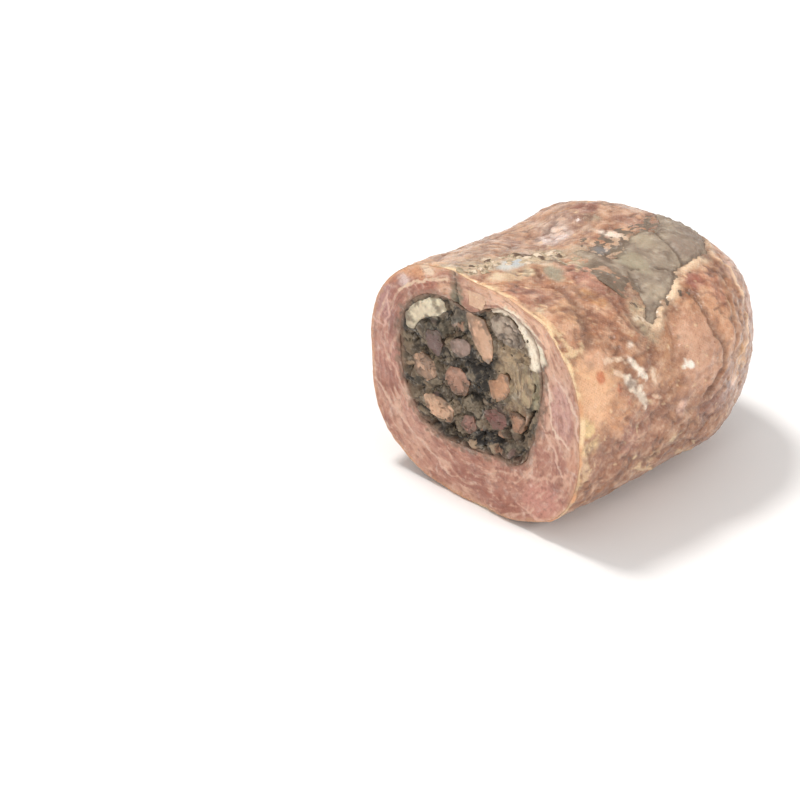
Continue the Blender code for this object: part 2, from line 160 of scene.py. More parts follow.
# The skin's patches: lean, along, reach across and along in mm, tilt, colour and strength.
SKIN_PATCHES = (
    (-50.0, 8.0, 14.0, 9.0, 0.0, (226, 168, 122), 0.6),
    (44.0, 26.0, 13.0, 11.0, 0.0, (158, 108, 80), 0.5),
    (-30.0, 17.0, 9.0, 14.0, 0.0, (206, 174, 148), 0.8),
    (-24.0, 3.0, 8.0, 3.0, 0.0, (238, 186, 134), 0.7),
    (-15.0, 34.0, 9.0, 6.0, 0.0, (196, 164, 142), 0.6),
    (-3.0, 20.0, 2.8, 5.8, 0.0, (198, 200, 196), 0.95),
    (6.0, 13.0, 3.2, 7.0, 0.0, (204, 182, 146), 0.6),
    (6.0, 20.0, 2.2, 2.4, 0.0, (226, 206, 168), 0.8),
    (14.0, 26.5, 5.0, 3.4, 0.0, (150, 138, 116), 0.75),
    (11.0, 30.0, 5.0, 1.6, 10.0, (214, 190, 158), 0.7),
    (35.5, 27.5, 6.0, 4.0, 0.0, (206, 156, 100), 0.65),
    (25.0, 33.0, 13.0, 6.0, 0.0, (178, 124, 110), 0.6),
    (36.0, 40.0, 9.0, 3.0, 0.0, (148, 104, 92), 0.7),
    (45.0, 22.0, 8.0, 7.0, 0.0, (194, 140, 108), 0.5),
    (40.0, 8.0, 9.0, 8.0, 0.0, (208, 158, 126), 0.7),
    (31.0, 4.5, 1.6, 1.2, 20.0, (244, 222, 186), 0.95),
    (22.0, 7.0, 7.0, 7.0, 0.0, (176, 122, 102), 0.6),
    (70.5, 8.2, 13.0, 9.4, 0.0, (240, 188, 145), 0.98),
    (84.0, 16.0, 6.0, 6.0, 0.0, (222, 162, 118), 0.7),
    (59.0, 12.0, 4.0, 6.0, 0.0, (226, 176, 144), 0.7),
    (66.5, 11.5, 1.9, 1.7, 0.0, (202, 112, 70), 0.8),
    (72.8, 18.0, 1.6, 1.4, 0.0, (202, 112, 70), 0.7),
    (80.0, 22.0, 1.4, 1.2, 0.0, (190, 108, 72), 0.6),
    (104.0, 12.0, 11.0, 9.0, 0.0, (160, 108, 84), 0.6),
    (96.0, 22.0, 7.0, 5.0, 0.0, (184, 130, 116), 0.5),
    (94.0, 33.0, 11.0, 7.0, 0.0, (164, 112, 90), 0.5),
    (72.0, 55.0, 13.5, 11.0, 0.0, (210, 160, 130), 0.92),
    (66.0, 52.0, 5.0, 4.0, 0.0, (222, 176, 146), 0.6),
    (52.0, 33.0, 8.0, 5.0, 0.0, (168, 112, 84), 0.6),
    (47.0, 66.0, 4.5, 4.5, 0.0, (160, 94, 78), 0.9),
    (38.0, 14.0, 7.0, 7.0, 20.0, (204, 158, 118), 0.75),
    (26.0, 12.0, 5.0, 5.0, 0.0, (156, 104, 82), 0.6),
    (53.0, 73.5, 7.0, 4.5, 0.0, (208, 142, 114), 0.6),
    (66.0, 70.0, 11.0, 4.5, 20.0, (220, 164, 126), 0.8),
    (88.0, 81.0, 7.0, 4.0, 0.0, (224, 170, 106), 0.7),
    (98.0, 64.0, 5.0, 10.0, 0.0, (152, 106, 90), 0.7),
    (92.0, 46.5, 2.6, 2.4, 20.0, (236, 190, 170), 0.95),
    (106.0, 45.0, 2.4, 4.0, 0.0, (222, 194, 158), 0.85),
    (111.0, 37.0, 2.2, 3.4, 0.0, (216, 184, 148), 0.75),
    (97.0, 75.0, 1.8, 2.6, 0.0, (240, 192, 166), 0.95),
    (-19.0, 51.0, 8.0, 7.0, -30.0, (232, 214, 206), 0.9),
    (-26.0, 56.0, 8.0, 5.0, 0.0, (216, 194, 178), 0.6),
    (3.0, 52.0, 4.0, 4.0, 0.0, (192, 162, 132), 0.6),
    (12.0, 50.8, 2.6, 2.8, 0.0, (178, 178, 178), 0.9),
    (17.0, 47.0, 5.0, 3.0, 0.0, (152, 118, 100), 0.6),
    (3.8, 62.0, 5.6, 2.4, 12.0, (246, 230, 212), 0.98),
    (-8.0, 60.0, 4.0, 3.0, 0.0, (206, 180, 158), 0.6),
    (-25.0, 62.0, 7.0, 3.5, 0.0, (178, 152, 138), 0.6),
    (-14.0, 66.0, 3.5, 2.6, 0.0, (148, 138, 116), 0.75),
    (-22.0, 71.0, 5.0, 5.0, 0.0, (152, 98, 86), 0.8),
    (0.0, 74.0, 8.0, 5.0, 0.0, (172, 132, 114), 0.7),
    (-10.0, 82.0, 8.0, 5.0, 0.0, (190, 156, 138), 0.5),
    (-46.0, 88.0, 8.0, 8.0, 0.0, (164, 118, 102), 0.6),
    (40.5, 76.5, 2.6, 2.2, 30.0, (246, 218, 182), 1.0),
    (50.0, 90.0, 5.0, 6.0, 0.0, (228, 196, 180), 0.7),
    (70.0, 92.0, 13.0, 6.0, 0.0, (206, 156, 136), 0.5),
    (100.0, 99.0, 14.0, 6.0, 0.0, (212, 152, 122), 0.5),
    (84.0, 2.5, 3.2, 3.0, 0.0, (244, 212, 152), 0.95),
    (93.0, 4.0, 2.2, 4.6, 10.0, (240, 206, 156), 0.85),
    (102.0, 2.0, 5.0, 2.0, 0.0, CREAM, 0.6),
    (59.0, 26.5, 1.0, 1.4, 0.0, WHITE_FAT, 0.9),
    (62.0, 31.0, 2.0, 3.0, 0.0, (160, 116, 92), 0.6),
    (-80.0, 30.0, 12.0, 16.0, 0.0, (208, 160, 136), 0.5),
    (-95.0, 62.0, 12.0, 12.0, 0.0, (170, 118, 98), 0.55),
    # A spot of painted sheen.
    (-70.0, 56.0, 6.0, 4.0, 30.0, MAUVE_WHITE_SHEEN, 0.6),
    (-110.0, 20.0, 8.0, 10.0, 0.0, (172, 114, 92), 0.6),
    (-100.0, 84.0, 10.0, 8.0, 0.0, (212, 164, 138), 0.6),
    (-62.0, 34.0, 2.5, 5.0, 20.0, CREAM, 0.6),
    (-125.0, 48.0, 4.0, 7.0, -15.0, (224, 190, 160), 0.7),
)
# Patches beside the seam, laid later, in the same columns.
SEAM_SPOTS = (
    (-3.0, 20.0, 3.6, 6.4, 8.0, (200, 198, 190), 0.95),
    (-3.5, 21.0, 2.0, 4.0, 8.0, (184, 190, 194), 0.8),
    (6.5, 19.5, 1.6, 2.0, 0.0, (236, 216, 180), 0.9),
    (13.8, 26.4, 4.4, 3.4, 0.0, (150, 140, 118), 0.8),
    (2.0, 8.0, 3.0, 4.0, 20.0, (228, 204, 170), 0.8),
    (-9.0, 30.0, 3.0, 1.6, 0.0, (112, 84, 68), 0.7),
    (4.0, 33.0, 4.0, 1.4, 15.0, (104, 78, 62), 0.75),
    (-8.0, 10.0, 2.0, 1.2, 0.0, (96, 72, 56), 0.8),
)
# Streaks of fat on the skin, and one of painted sheen: width, colour, strength and (lean, along) points.
SKIN_STREAKS = (
    (1.1, (244, 214, 186), 0.7, ((60.0, 14.5), (62.5, 19.0), (63.5, 22.0))),
    (1.9, (252, 236, 216), 1.0, ((64.5, 24.5), (68.5, 26.6), (72.5, 29.6))),
    (2.1, (252, 234, 212), 1.0, ((70.0, 21.6), (75.0, 24.6), (80.5, 28.0), (84.5, 29.2))),
    (1.2, (242, 210, 182), 0.8, ((67.0, 18.2), (69.0, 20.6))),
    (1.7, (244, 214, 184), 0.8, ((72.5, 32.6), (75.5, 34.2))),
    (0.9, (240, 206, 176), 0.7, ((82.0, 33.0), (85.0, 36.5))),
    (1.2, CREAM, 0.8, ((53.5, 0.0), (54.5, 4.0), (53.0, 8.0))),
    (1.6, (250, 242, 228), 1.0, ((74.4, 47.4), (76.0, 50.6))),
    (1.3, CREAM, 0.7, ((113.0, 30.0), (118.0, 36.0), (122.0, 44.0))),
    (1.2, CREAM, 0.6, ((118.0, 52.0), (126.0, 66.0), (133.0, 76.0))),
    (1.5, CREAM, 0.6, ((32.0, 3.0), (40.0, 2.0), (55.0, 4.0))),
    (1.3, (244, 206, 170), 0.9, ((44.0, 84.0), (50.0, 87.5), (64.0, 86.8), (74.0, 86.0), (84.0, 84.6))),
    (1.6, (240, 208, 188), 0.7, ((44.0, 92.0), (54.0, 96.0), (68.0, 96.0))),
    # A streak of painted sheen.
    (1.4, MAUVE_WHITE_SHEEN, 0.6, ((-52.0, 40.0), (-48.0, 50.0), (-50.0, 60.0))),
    (1.2, CREAM, 0.5, ((-84.0, 12.0), (-92.0, 20.0), (-96.0, 32.0))),
)
# Creases and pits in the skin: depth, width, how much painted shade lies in them, and (lean, along) points.
SKIN_CREASES = (
    (1.0, 1.6, 0.55, ((50.0, 60.0), (54.0, 62.5), (65.0, 64.0), (75.0, 67.0), (84.0, 66.0), (92.0, 58.0))),
    (0.5, 1.5, 0.25, ((50.3, 51.5), (56.0, 48.5), (65.0, 45.5), (75.0, 42.7))),
    (0.6, 1.3, 0.4, ((93.0, 48.0), (97.0, 54.0), (96.0, 62.0), (92.0, 70.0))),
    (0.5, 1.2, 0.4, ((60.0, 78.0), (72.0, 74.5), (84.0, 74.0), (92.0, 76.0))),
    (0.8, 3.2, 0.6, ((22.0, 22.0), (29.0, 20.5), (36.0, 18.5), (44.5, 15.5), (54.0, 11.5))),
    (0.5, 1.7, 0.55, ((24.0, 38.5), (32.0, 37.0), (39.0, 35.5), (48.0, 33.0), (55.0, 33.5))),
    (0.5, 1.6, 0.5, ((22.0, 31.0), (27.0, 26.0), (33.0, 25.0))),
    (0.5, 1.4, 0.45, ((36.0, 36.0), (44.0, 31.0), (52.0, 30.0), (58.0, 34.0))),
    (0.5, 1.4, 0.45, ((86.0, 20.0), (92.0, 26.0), (90.0, 34.0), (97.0, 42.0))),
    (0.5, 1.3, 0.4, ((100.0, 56.0), (106.0, 66.0), (103.0, 76.0))),
    (0.4, 1.0, 0.4, ((30.0, 9.0), (29.0, 14.0), (24.0, 20.0))),
    (0.4, 1.0, 0.35, ((56.0, 24.0), (60.0, 30.0), (58.0, 37.0))),
    (0.7, 1.2, 0.8, ((-7.0, 33.6), (-2.7, 32.8), (1.0, 31.0))),
    (1.1, 1.2, 1.0, ((34.5, 46.6), (38.0, 45.4), (41.0, 44.9))),
    (1.2, 1.5, 1.0, ((20.0, 51.6), (22.0, 54.6))),
    (0.9, 1.2, 0.9, ((9.0, 47.4), (13.0, 47.4))),
    (0.7, 0.9, 0.8, ((6.0, 58.6), (9.5, 58.4))),
    (0.8, 1.1, 0.9, ((-8.6, 2.2), (-7.2, 3.2))),
    (0.7, 1.0, 0.9, ((-5.0, 7.8), (-3.8, 9.0))),
    (0.6, 0.8, 0.8, ((-9.5, 13.5), (-8.8, 15.0))),
    (0.5, 1.0, 0.3, ((-40.0, 62.0), (-30.0, 66.0), (-22.0, 72.0), (-14.0, 74.0))),
    (0.6, 1.2, 0.35, ((-64.0, 18.0), (-70.0, 34.0), (-78.0, 48.0), (-76.0, 64.0))),
    (0.5, 1.1, 0.35, ((-104.0, 44.0), (-112.0, 58.0), (-110.0, 72.0))),
    (0.5, 1.1, 0.35, ((104.0, 20.0), (112.0, 34.0), (110.0, 50.0), (118.0, 64.0))),
)
# Patches of the filling in the torn place, in the columns of the skin's patches.
PATCH_SPOTS = (
    (26.0, 54.0, 8.0, 5.0, 0.0, (160, 148, 124), 0.7),
    (18.0, 66.0, 6.0, 4.0, 0.0, (172, 156, 132), 0.6),
    (36.0, 62.0, 3.0, 5.0, 0.0, (130, 114, 98), 0.6),
    (33.0, 76.0, 7.0, 6.0, 0.0, (146, 127, 112), 0.8),
    (28.0, 88.0, 9.0, 6.0, 0.0, (136, 118, 105), 0.8),
    (46.0, 50.0, 4.0, 3.0, 0.0, (176, 158, 136), 0.7),
    (12.0, 50.8, 3.0, 3.0, 0.0, (146, 150, 154), 0.95),
    (20.0, 47.0, 4.0, 2.0, 0.0, (112, 92, 76), 0.8),
)
# Notches in the torn place, as (lean, along) points.
PATCH_NOTCHES = (
    ((13.0, 74.5), (20.0, 72.6), (28.0, 71.2), (35.0, 70.0), (41.0, 67.6)),
    ((31.0, 50.0), (33.0, 52.5)),
    ((7.0, 48.6), (12.0, 47.9), (18.0, 49.4), (21.5, 52.0)),
    ((33.0, 47.8), (38.0, 46.6), (42.5, 45.6)),
    ((36.0, 58.0), (38.5, 60.5)),
)
# The cut meat's patches: x, height, reach each way, tilt, colour and strength.
MEAT_PATCHES = (
    (-41.0, 62.0, 6.5, 10.0, -20.0, (184, 136, 130), 0.9),
    (-36.5, 54.0, 3.0, 5.0, 0.0, (150, 112, 108), 0.6),
    (-32.0, 71.0, 3.6, 2.8, 20.0, (232, 206, 198), 0.95),
    (-22.0, 73.0, 7.0, 2.8, 25.0, (178, 114, 92), 0.9),
    (-35.0, 64.0, 3.0, 7.0, -15.0, (170, 112, 94), 0.7),
    (-25.0, 78.0, 12.0, 4.2, 18.0, (234, 174, 132), 0.85),
    (-38.0, 70.0, 5.0, 2.6, 45.0, (226, 148, 108), 0.8),
    (-21.0, 78.5, 3.4, 2.4, 0.0, (250, 224, 196), 0.95),
    (-13.0, 74.5, 4.0, 3.6, 0.0, (222, 176, 144), 0.85),
    (2.0, 77.0, 9.5, 4.5, 0.0, (222, 178, 150), 0.9),
    (16.0, 77.2, 11.0, 3.4, -14.0, (240, 194, 164), 0.97),
    (29.0, 71.0, 7.0, 4.0, -50.0, (244, 198, 168), 0.95),
    (35.0, 62.0, 4.0, 5.0, 20.0, (228, 184, 158), 0.8),
    (29.0, 64.0, 3.4, 3.4, 0.0, (140, 136, 116), 0.85),
    (29.5, 62.0, 1.8, 1.4, 0.0, (84, 84, 76), 0.8),
    (38.0, 49.0, 5.6, 11.0, 8.0, (206, 160, 148), 0.9),
    (31.5, 44.0, 2.4, 6.0, 0.0, (216, 172, 150), 0.7),
    (36.0, 30.0, 6.0, 7.0, 0.0, (172, 116, 100), 0.8),
    (30.0, 37.0, 3.5, 4.0, 0.0, (188, 140, 118), 0.8),
    (31.0, 14.0, 10.0, 7.5, 35.0, (200, 140, 124), 0.9),
    (14.0, 6.5, 10.0, 5.0, 0.0, (166, 108, 90), 0.8),
    (0.0, 9.0, 8.0, 6.0, 0.0, (156, 100, 84), 0.7),
    (-14.0, 12.0, 9.0, 8.0, 20.0, (182, 128, 110), 0.7),
    (-28.0, 20.0, 7.0, 9.0, 40.0, (196, 146, 128), 0.8),
    (-39.0, 40.0, 6.0, 10.0, 0.0, (190, 138, 124), 0.8),
    (-30.0, 30.0, 3.0, 3.0, 0.0, (224, 190, 168), 0.6),
    (36.0, 21.0, 3.0, 2.2, 0.0, (144, 92, 78), 0.6),
    (43.0, 33.0, 2.2, 6.0, 0.0, (214, 160, 132), 0.6),
)
# Lines of fat in the cut meat, then dark lines that lie flat: width, colour, strength and (x, height) points.
MEAT_STREAKS = (
    (1.8, (244, 226, 200), 1.0, ((11.0, 75.2), (16.0, 74.8), (21.0, 72.0), (25.5, 68.0))),
    (2.4, (248, 232, 208), 1.0, ((14.0, 76.4), (19.5, 74.8), (24.5, 72.0), (28.0, 68.4), (29.6, 64.0))),
    (1.2, (226, 214, 186), 0.9, ((25.0, 61.0), (28.0, 57.0), (28.5, 50.0), (27.0, 44.0))),
    (0.9, (236, 204, 182), 0.9, ((31.0, 59.0), (33.0, 52.0), (33.5, 45.0), (36.5, 40.0), (42.0, 38.0))),
    (0.8, (234, 200, 180), 0.8, ((35.0, 60.0), (40.0, 57.0), (44.5, 50.0), (45.5, 42.0))),
    (0.8, (230, 190, 168), 0.7, ((30.5, 40.5), (35.5, 34.5), (39.0, 26.0))),
    (0.8, (228, 184, 160), 0.6, ((24.0, 20.0), (32.0, 22.0), (41.0, 27.0))),
    (0.8, (224, 180, 160), 0.6, ((20.0, 9.0), (28.0, 6.0), (36.0, 8.0))),
    (1.0, (238, 208, 178), 0.8, ((-34.0, 66.0), (-28.0, 71.0), (-20.0, 75.0), (-12.0, 78.0))),
    (0.8, (228, 186, 170), 0.7, ((-46.0, 52.0), (-41.0, 50.0), (-38.0, 56.0), (-39.0, 64.0))),
    (0.9, (226, 190, 168), 0.7, ((-44.0, 30.0), (-36.0, 22.0), (-24.0, 14.0), (-10.0, 7.0))),
    (0.8, (222, 180, 158), 0.6, ((-42.0, 44.0), (-35.0, 36.0), (-29.0, 26.0), (-18.0, 19.0))),
)
MEAT_DARK_LINES = (
    (0.9, (150, 96, 80), 0.7, ((26.5, 41.0), (30.0, 38.0), (34.0, 40.5))),
    (0.8, (152, 100, 86), 0.7, ((-2.0, 73.5), (10.0, 76.0), (20.0, 75.0), (30.0, 68.5))),
)
SEAM = ((-6.4, 66.0), (-7.2, 70.5), (-7.6, 74.0), (-8.4, 78.0), (-8.6, 83.0))
CRACK = ((27.0, 44.5), (25.0, 41.0), (21.8, 36.0), (20.5, 31.5))
CRESCENT = ((8.5, 75.0), (12.0, 75.4), (17.0, 74.4), (21.5, 71.8), (24.5, 69.0), (26.5, 65.5), (27.0, 62.0))
# The stuffing's zones in the cut: x, height, reach each way, tilt, colour and strength.
STUFFING_ZONES = (
    (-18.0, 60.0, 8.0, 4.5, 25.0, (74, 70, 58), 0.7),
    (-7.0, 65.0, 4.5, 6.0, 0.0, (104, 100, 86), 0.7),
    (-3.0, 63.0, 2.0, 4.0, 0.0, (50, 47, 40), 0.8),
    (-6.0, 50.0, 8.0, 4.5, 0.0, (50, 43, 35), 0.75),
    (4.0, 50.0, 6.0, 6.0, 0.0, (42, 36, 30), 0.85),
    (14.0, 60.0, 6.0, 4.0, 0.0, (168, 142, 114), 0.8),
    (11.0, 56.5, 2.5, 2.5, 0.0, (74, 66, 54), 0.8),
    (19.0, 54.0, 8.5, 10.5, 0.0, (184, 156, 124), 0.92),
    (17.5, 46.0, 3.5, 5.0, 0.0, (134, 114, 84), 0.7),
    (27.0, 51.0, 2.0, 7.0, 0.0, (176, 166, 136), 0.85),
    (27.0, 66.0, 3.4, 4.4, 0.0, (228, 218, 192), 0.9),
    (20.0, 41.0, 7.0, 4.0, 0.0, (134, 104, 80), 0.8),
    (4.0, 42.0, 8.0, 4.5, 0.0, (40, 34, 28), 0.8),
    (8.0, 26.0, 9.0, 5.0, 10.0, (36, 29, 26), 0.85),
    (16.0, 31.0, 4.0, 3.0, 0.0, (84, 64, 50), 0.7),
    (18.0, 22.0, 7.0, 4.0, 0.0, (112, 82, 64), 0.7),
    (-10.0, 36.0, 9.0, 5.0, 0.0, (58, 49, 39), 0.7),
    (-20.0, 42.0, 8.0, 6.0, 0.0, (88, 76, 60), 0.6),
    (-6.0, 22.0, 8.0, 4.0, 0.0, (80, 64, 50), 0.6),
    (-26.0, 50.0, 3.0, 4.0, 0.0, (64, 56, 46), 0.6),
)
# The pieces in the cut, as their nodes have them: slot, corners as x and height, how deep, how proud, main
# colour, second colour and kind of surface.
PIECES = {
    "long_tan_piece": ("tan_liver",
        ((-3.6, 69.4), (0.4, 69.9), (4.4, 69.2), (6.6, 66.2), (8.2, 62.6), (8.4, 56.5), (6.8, 54.0),
         (3.4, 55.8), (0.2, 59.6), (-1.9, 62.9)),
        17.0, 0.4, (212, 170, 140), (192, 148, 120), "plain"),
    "pink_grey_piece": ("pink_meat",
        ((-10.6, 55.7), (-8.0, 58.3), (-3.6, 59.3), (-1.1, 57.4), (-1.6, 54.7), (-5.6, 52.1), (-9.3, 52.7)),
        12.0, 0.3, (156, 130, 118), (128, 106, 94), "plain"),
    "tan_piece": ("tan_liver",
        ((12.2, 53.3), (15.2, 53.3), (16.2, 48.1), (14.3, 44.5), (10.6, 41.9), (8.3, 43.3), (6.6, 48.3),
         (10.2, 49.7)),
        14.0, 0.6, (194, 146, 112), (164, 118, 88), "plain"),
    "mauve_piece": ("dark_liver",
        ((-22.0, 56.3), (-14.8, 58.3), (-14.0, 52.3), (-15.6, 48.1), (-20.5, 49.9)),
        13.0, 0.1, (112, 90, 84), (82, 66, 62), "torn"),
    "fat_strip": ("fat",
        ((-30.0, 54.4), (-30.6, 59.2), (-26.4, 64.6), (-19.3, 68.9), (-14.3, 69.8), (-12.2, 66.8),
         (-15.5, 63.4), (-20.5, 61.4), (-24.6, 58.6), (-26.9, 54.6)),
        20.0, 0.3, (220, 204, 176), (160, 148, 120), "plain"),
    "beige_top_piece": ("pale_meat",
        ((-2.6, 77.3), (0.2, 78.1), (3.6, 77.9), (4.9, 76.3), (4.1, 72.7), (0.7, 72.2), (-2.3, 72.5)),
        15.0, 0.2, (226, 186, 156), (206, 162, 134), "plain"),
    "grey_swirl_piece": ("mushroom",
        ((7.0, 71.3), (10.3, 73.7), (15.3, 73.9), (20.2, 71.3), (22.6, 67.3), (20.3, 64.7), (14.4, 63.9),
         (9.4, 64.7), (7.4, 67.9)),
        11.0, 0.4, (176, 156, 138), (104, 92, 80), "curled"),
    "olive_piece": ("mushroom",
        ((18.0, 59.7), (24.4, 60.5), (26.4, 53.3), (25.0, 45.1), (19.6, 44.5), (18.6, 51.3)),
        18.0, 0.1, (180, 154, 124), (144, 122, 92), "stringy"),
    "brown_piece": ("tan_liver",
        ((15.6, 40.5), (19.4, 41.5), (23.4, 39.7), (21.8, 34.6), (18.0, 34.3), (17.1, 37.8)),
        10.0, 0.3, (164, 122, 96), (124, 90, 68), "torn"),
    "red_brown_piece": ("dark_liver",
        ((4.4, 36.3), (8.6, 39.1), (14.2, 38.9), (15.2, 35.7), (13.6, 33.0), (8.6, 31.7)),
        12.0, 0.2, (128, 84, 76), (92, 60, 54), "torn"),
    "pale_left_piece": ("pale_meat",
        ((-27.3, 45.3), (-23.3, 47.5), (-17.6, 46.1), (-16.0, 41.3), (-20.3, 37.9), (-26.3, 39.3)),
        14.0, 0.3, (184, 148, 122), (150, 116, 94), "torn"),
    "tan_low_piece": ("tan_liver",
        ((-10.8, 47.3), (-5.3, 47.8), (-1.3, 44.3), (-2.8, 38.8), (-8.3, 37.8), (-12.3, 41.8)),
        15.0, 0.2, (166, 126, 106), (136, 102, 84), "torn"),
    "beige_low_piece": ("pale_meat",
        ((-22.3, 32.8), (-14.3, 34.3), (-8.4, 31.8), (-8.8, 26.9), (-15.3, 25.5), (-21.3, 27.9)),
        12.0, 0.3, (198, 160, 132), (164, 128, 104), "torn"),
    "pink_low_piece": ("pink_meat",
        ((-3.3, 32.3), (1.1, 32.7), (2.0, 27.9), (-1.3, 25.3), (-5.2, 27.5)),
        11.0, 0.2, (168, 124, 110), (136, 98, 86), "torn"),
}
PIECE_TAPER = 0.72
PIECE_IN_THE_MEAT = "beige_top_piece"

# Finishes: grain in mm, contrast, roughness, coat, light under the surface and bump.
FINISHES = {
    "cut_meat": (0.9, 0.45, 0.34, 0.45, 0.14, 0.8),
    "dark_stuffing": (0.8, 0.6, 0.42, 0.35, 0.03, 1.2),
    "grey_filling": (0.8, 0.3, 0.42, 0.25, 0.08, 0.6),
    "tan_liver": (0.7, 0.25, 0.36, 0.3, 0.10, 0.5),
    "dark_liver": (0.7, 0.35, 0.34, 0.4, 0.08, 0.6),
    "pale_meat": (0.9, 0.3, 0.38, 0.3, 0.14, 0.6),
    "pink_meat": (0.9, 0.35, 0.36, 0.3, 0.12, 0.6),
    "mushroom": (0.7, 0.45, 0.42, 0.3, 0.06, 1.0),
    "pale_fat": (1.0, 0.25, 0.34, 0.4, 0.20, 0.5),
    "stuffing_crumb": (0.6, 0.4, 0.45, 0.3, 0.03, 0.8),
}
COAT_ROUGHNESS = 0.26
COAT_IOR = 1.4
FLESH_IOR = 1.42
LIGHT_REACH = (1.0, 0.42, 0.26)
LIGHT_REACH_MM = 2.4

# Crumbs on the cut stuffing.
CRUMBS_PER_SQUARE_METRE = 220000.0
CRUMB_SMALLEST = 0.8
CRUMB_LARGEST = 2.2
CRUMB_SUNK = 0.55
CRUMB_DARK = (44, 38, 30)
CRUMB_LIGHT = (128, 112, 88)
CRUMB_INPUTS = {
    "Surface": "Geometry", "Density": "Float", "Smallest": "Float", "Largest": "Float", "Sunk": "Float",
    "Seed": "Int", "Material": "Material",
}
# Colours that a few of the stuffing's bits have: from and to which of their random numbers, and the colour.
BIT_COLOURS = ((0.42, 0.46, (172, 130, 104)), (0.29, 0.32, (116, 90, 84)), (0.62, 0.65, (192, 162, 132)))
FIBRES_ROUND_HEIGHT = 41.0  # the cut meat's fibres run round a point at this height

# The studio, in metres: lights by name, place, size, power and colour, then the camera.
LIT_POINT = (0.0, 0.0, 0.04)
SKY_STRENGTH = 0.62
LIGHTS = (
    ("key_light", (-0.45, -0.1, 1.15), 0.3, 10.0, (1.0, 0.97, 0.94)),
    ("front_light", (0.5, -1.2, 0.75), 0.4, 2.5, (1.0, 0.98, 0.96)),
    ("side_light", (1.1, 0.1, 0.8), 0.3, 4.6, (1.0, 0.98, 0.95)),
)
CAMERA_PLACE = (0.60419, -0.69300, 0.52531)
CAMERA_TURN = (61.0, 45.0)
CAMERA_LENS = 140.0
CAMERA_SENSOR = 36.0


def linear(red, green, blue):
    """A colour seen on a screen, 0 to 255, as linear light."""
    seen = np.array([red, green, blue], float) / 255
    return np.where(seen <= 0.04045, seen / 12.92, ((seen + 0.055) / 1.055) ** 2.4)


def ramp(low, high, value):
    """0 below low, 1 above high, and a smooth rise between them."""
    share = np.clip((value - low) / (high - low), 0.0, 1.0)
    return share * share * (3 - 2 * share)


def fall(low, high, value):
    """1 below low, 0 above high, and a smooth fall between them."""
    return 1 - ramp(low, high, value)


def soft_spot(px, py, x, y, reach_x, reach_y):
    """1 at a middle and fading out round it, with a reach each way."""
    return np.exp(-(((px - x) / reach_x) ** 2) - ((py - y) / reach_y) ** 2)


def lumps(x, y, z, size, seed=0.0):
    """Smooth noise from about -1 to 1 at many points, with lumps of the given size."""
    x, y, z = np.broadcast_arrays(x, y, z)
    columns = (x / size + seed, y / size, z / size - seed)
    points = zip(*(column.ravel().tolist() for column in columns))
    return np.fromiter((noise.noise(point) for point in points), float, x.size).reshape(x.shape)


def rough(x, y, z, size, seed=0.0, octaves=3):
    """Noise with finer lumps on its lumps."""
    total = np.zeros(np.broadcast(x, y, z).shape)
    for octave in range(octaves):
        total = total + lumps(x, y, z, size / 2**octave, seed + 7.3 * octave) / 1.8**octave
    return total


def cells(x, y, z, size, seed=0.0):
    """For many points: how deep inside their cell, 0 at a crack, and its random number and tilted facet."""
    depth, chance, facet = [], [], []
    columns = (x / size + seed, y / size, z / size)
    for px, py, pz in zip(*(column.ravel().tolist() for column in columns)):
        distances, centres = noise.voronoi((px, py, pz))
        cx, cy, cz = centres[0]
        depth.append(1 - distances[0] / max(distances[1], 1e-6))
        chance.append(noise.cell((cx * 7.7, cy * 7.7, cz * 7.7)))
        lean_x = noise.cell((cx * 5.1, cy, cz * 9.3)) - 0.5
        lean_z = noise.cell((cx * 3.7, cy + 4.0, cz * 6.1)) - 0.5
        facet.append((lean_x * (px - cx) + lean_z * (pz - cz)) * size)
    return tuple(np.reshape(values, x.shape) for values in (depth, chance, facet))


def distance_to_path(px, py, path):
    """Distance from many points to a run of straight stretches."""
    nearest = np.full(np.shape(px), np.inf)
    for (ax, ay), (bx, by) in zip(path, path[1:]):
        dx, dy = bx - ax, by - ay
        share = np.clip(((px - ax) * dx + (py - ay) * dy) / (dx * dx + dy * dy), 0.0, 1.0)
        nearest = np.minimum(nearest, np.hypot(px - ax - share * dx, py - ay - share * dy))
    return nearest


def distance_to_outline(px, py, corners):
    """Distance from many points to a closed outline, negative inside it."""
    inside = np.zeros(np.shape(px), bool)
    for (ax, ay), (bx, by) in zip(corners, corners[1:] + corners[:1]):
        crosses = (ay > py) != (by > py)
        rise = (by - ay) if by != ay else 1e-9
        inside ^= crosses & (px < ax + (py - ay) * (bx - ax) / rise)
    away = distance_to_path(px, py, tuple(corners) + tuple(corners[:1]))
    return np.where(inside, -away, away)


def height_of_lines(px, py, lines, full_share):
    """The strongest of many lines at each point, each at its full strength over a share of its width."""
    height = np.zeros(np.shape(px))
    for width, _, strength, path in lines:
        near = fall(full_share * width, width, distance_to_path(px, py, path))
        height = np.maximum(height, strength * near)
    return height


def from_stations(stations, along):
    """The columns of a table of stations at many distances along."""
    table = np.array(stations)
    return [np.interp(along, table[:, 0], table[:, column]) for column in range(1, table.shape[1])]


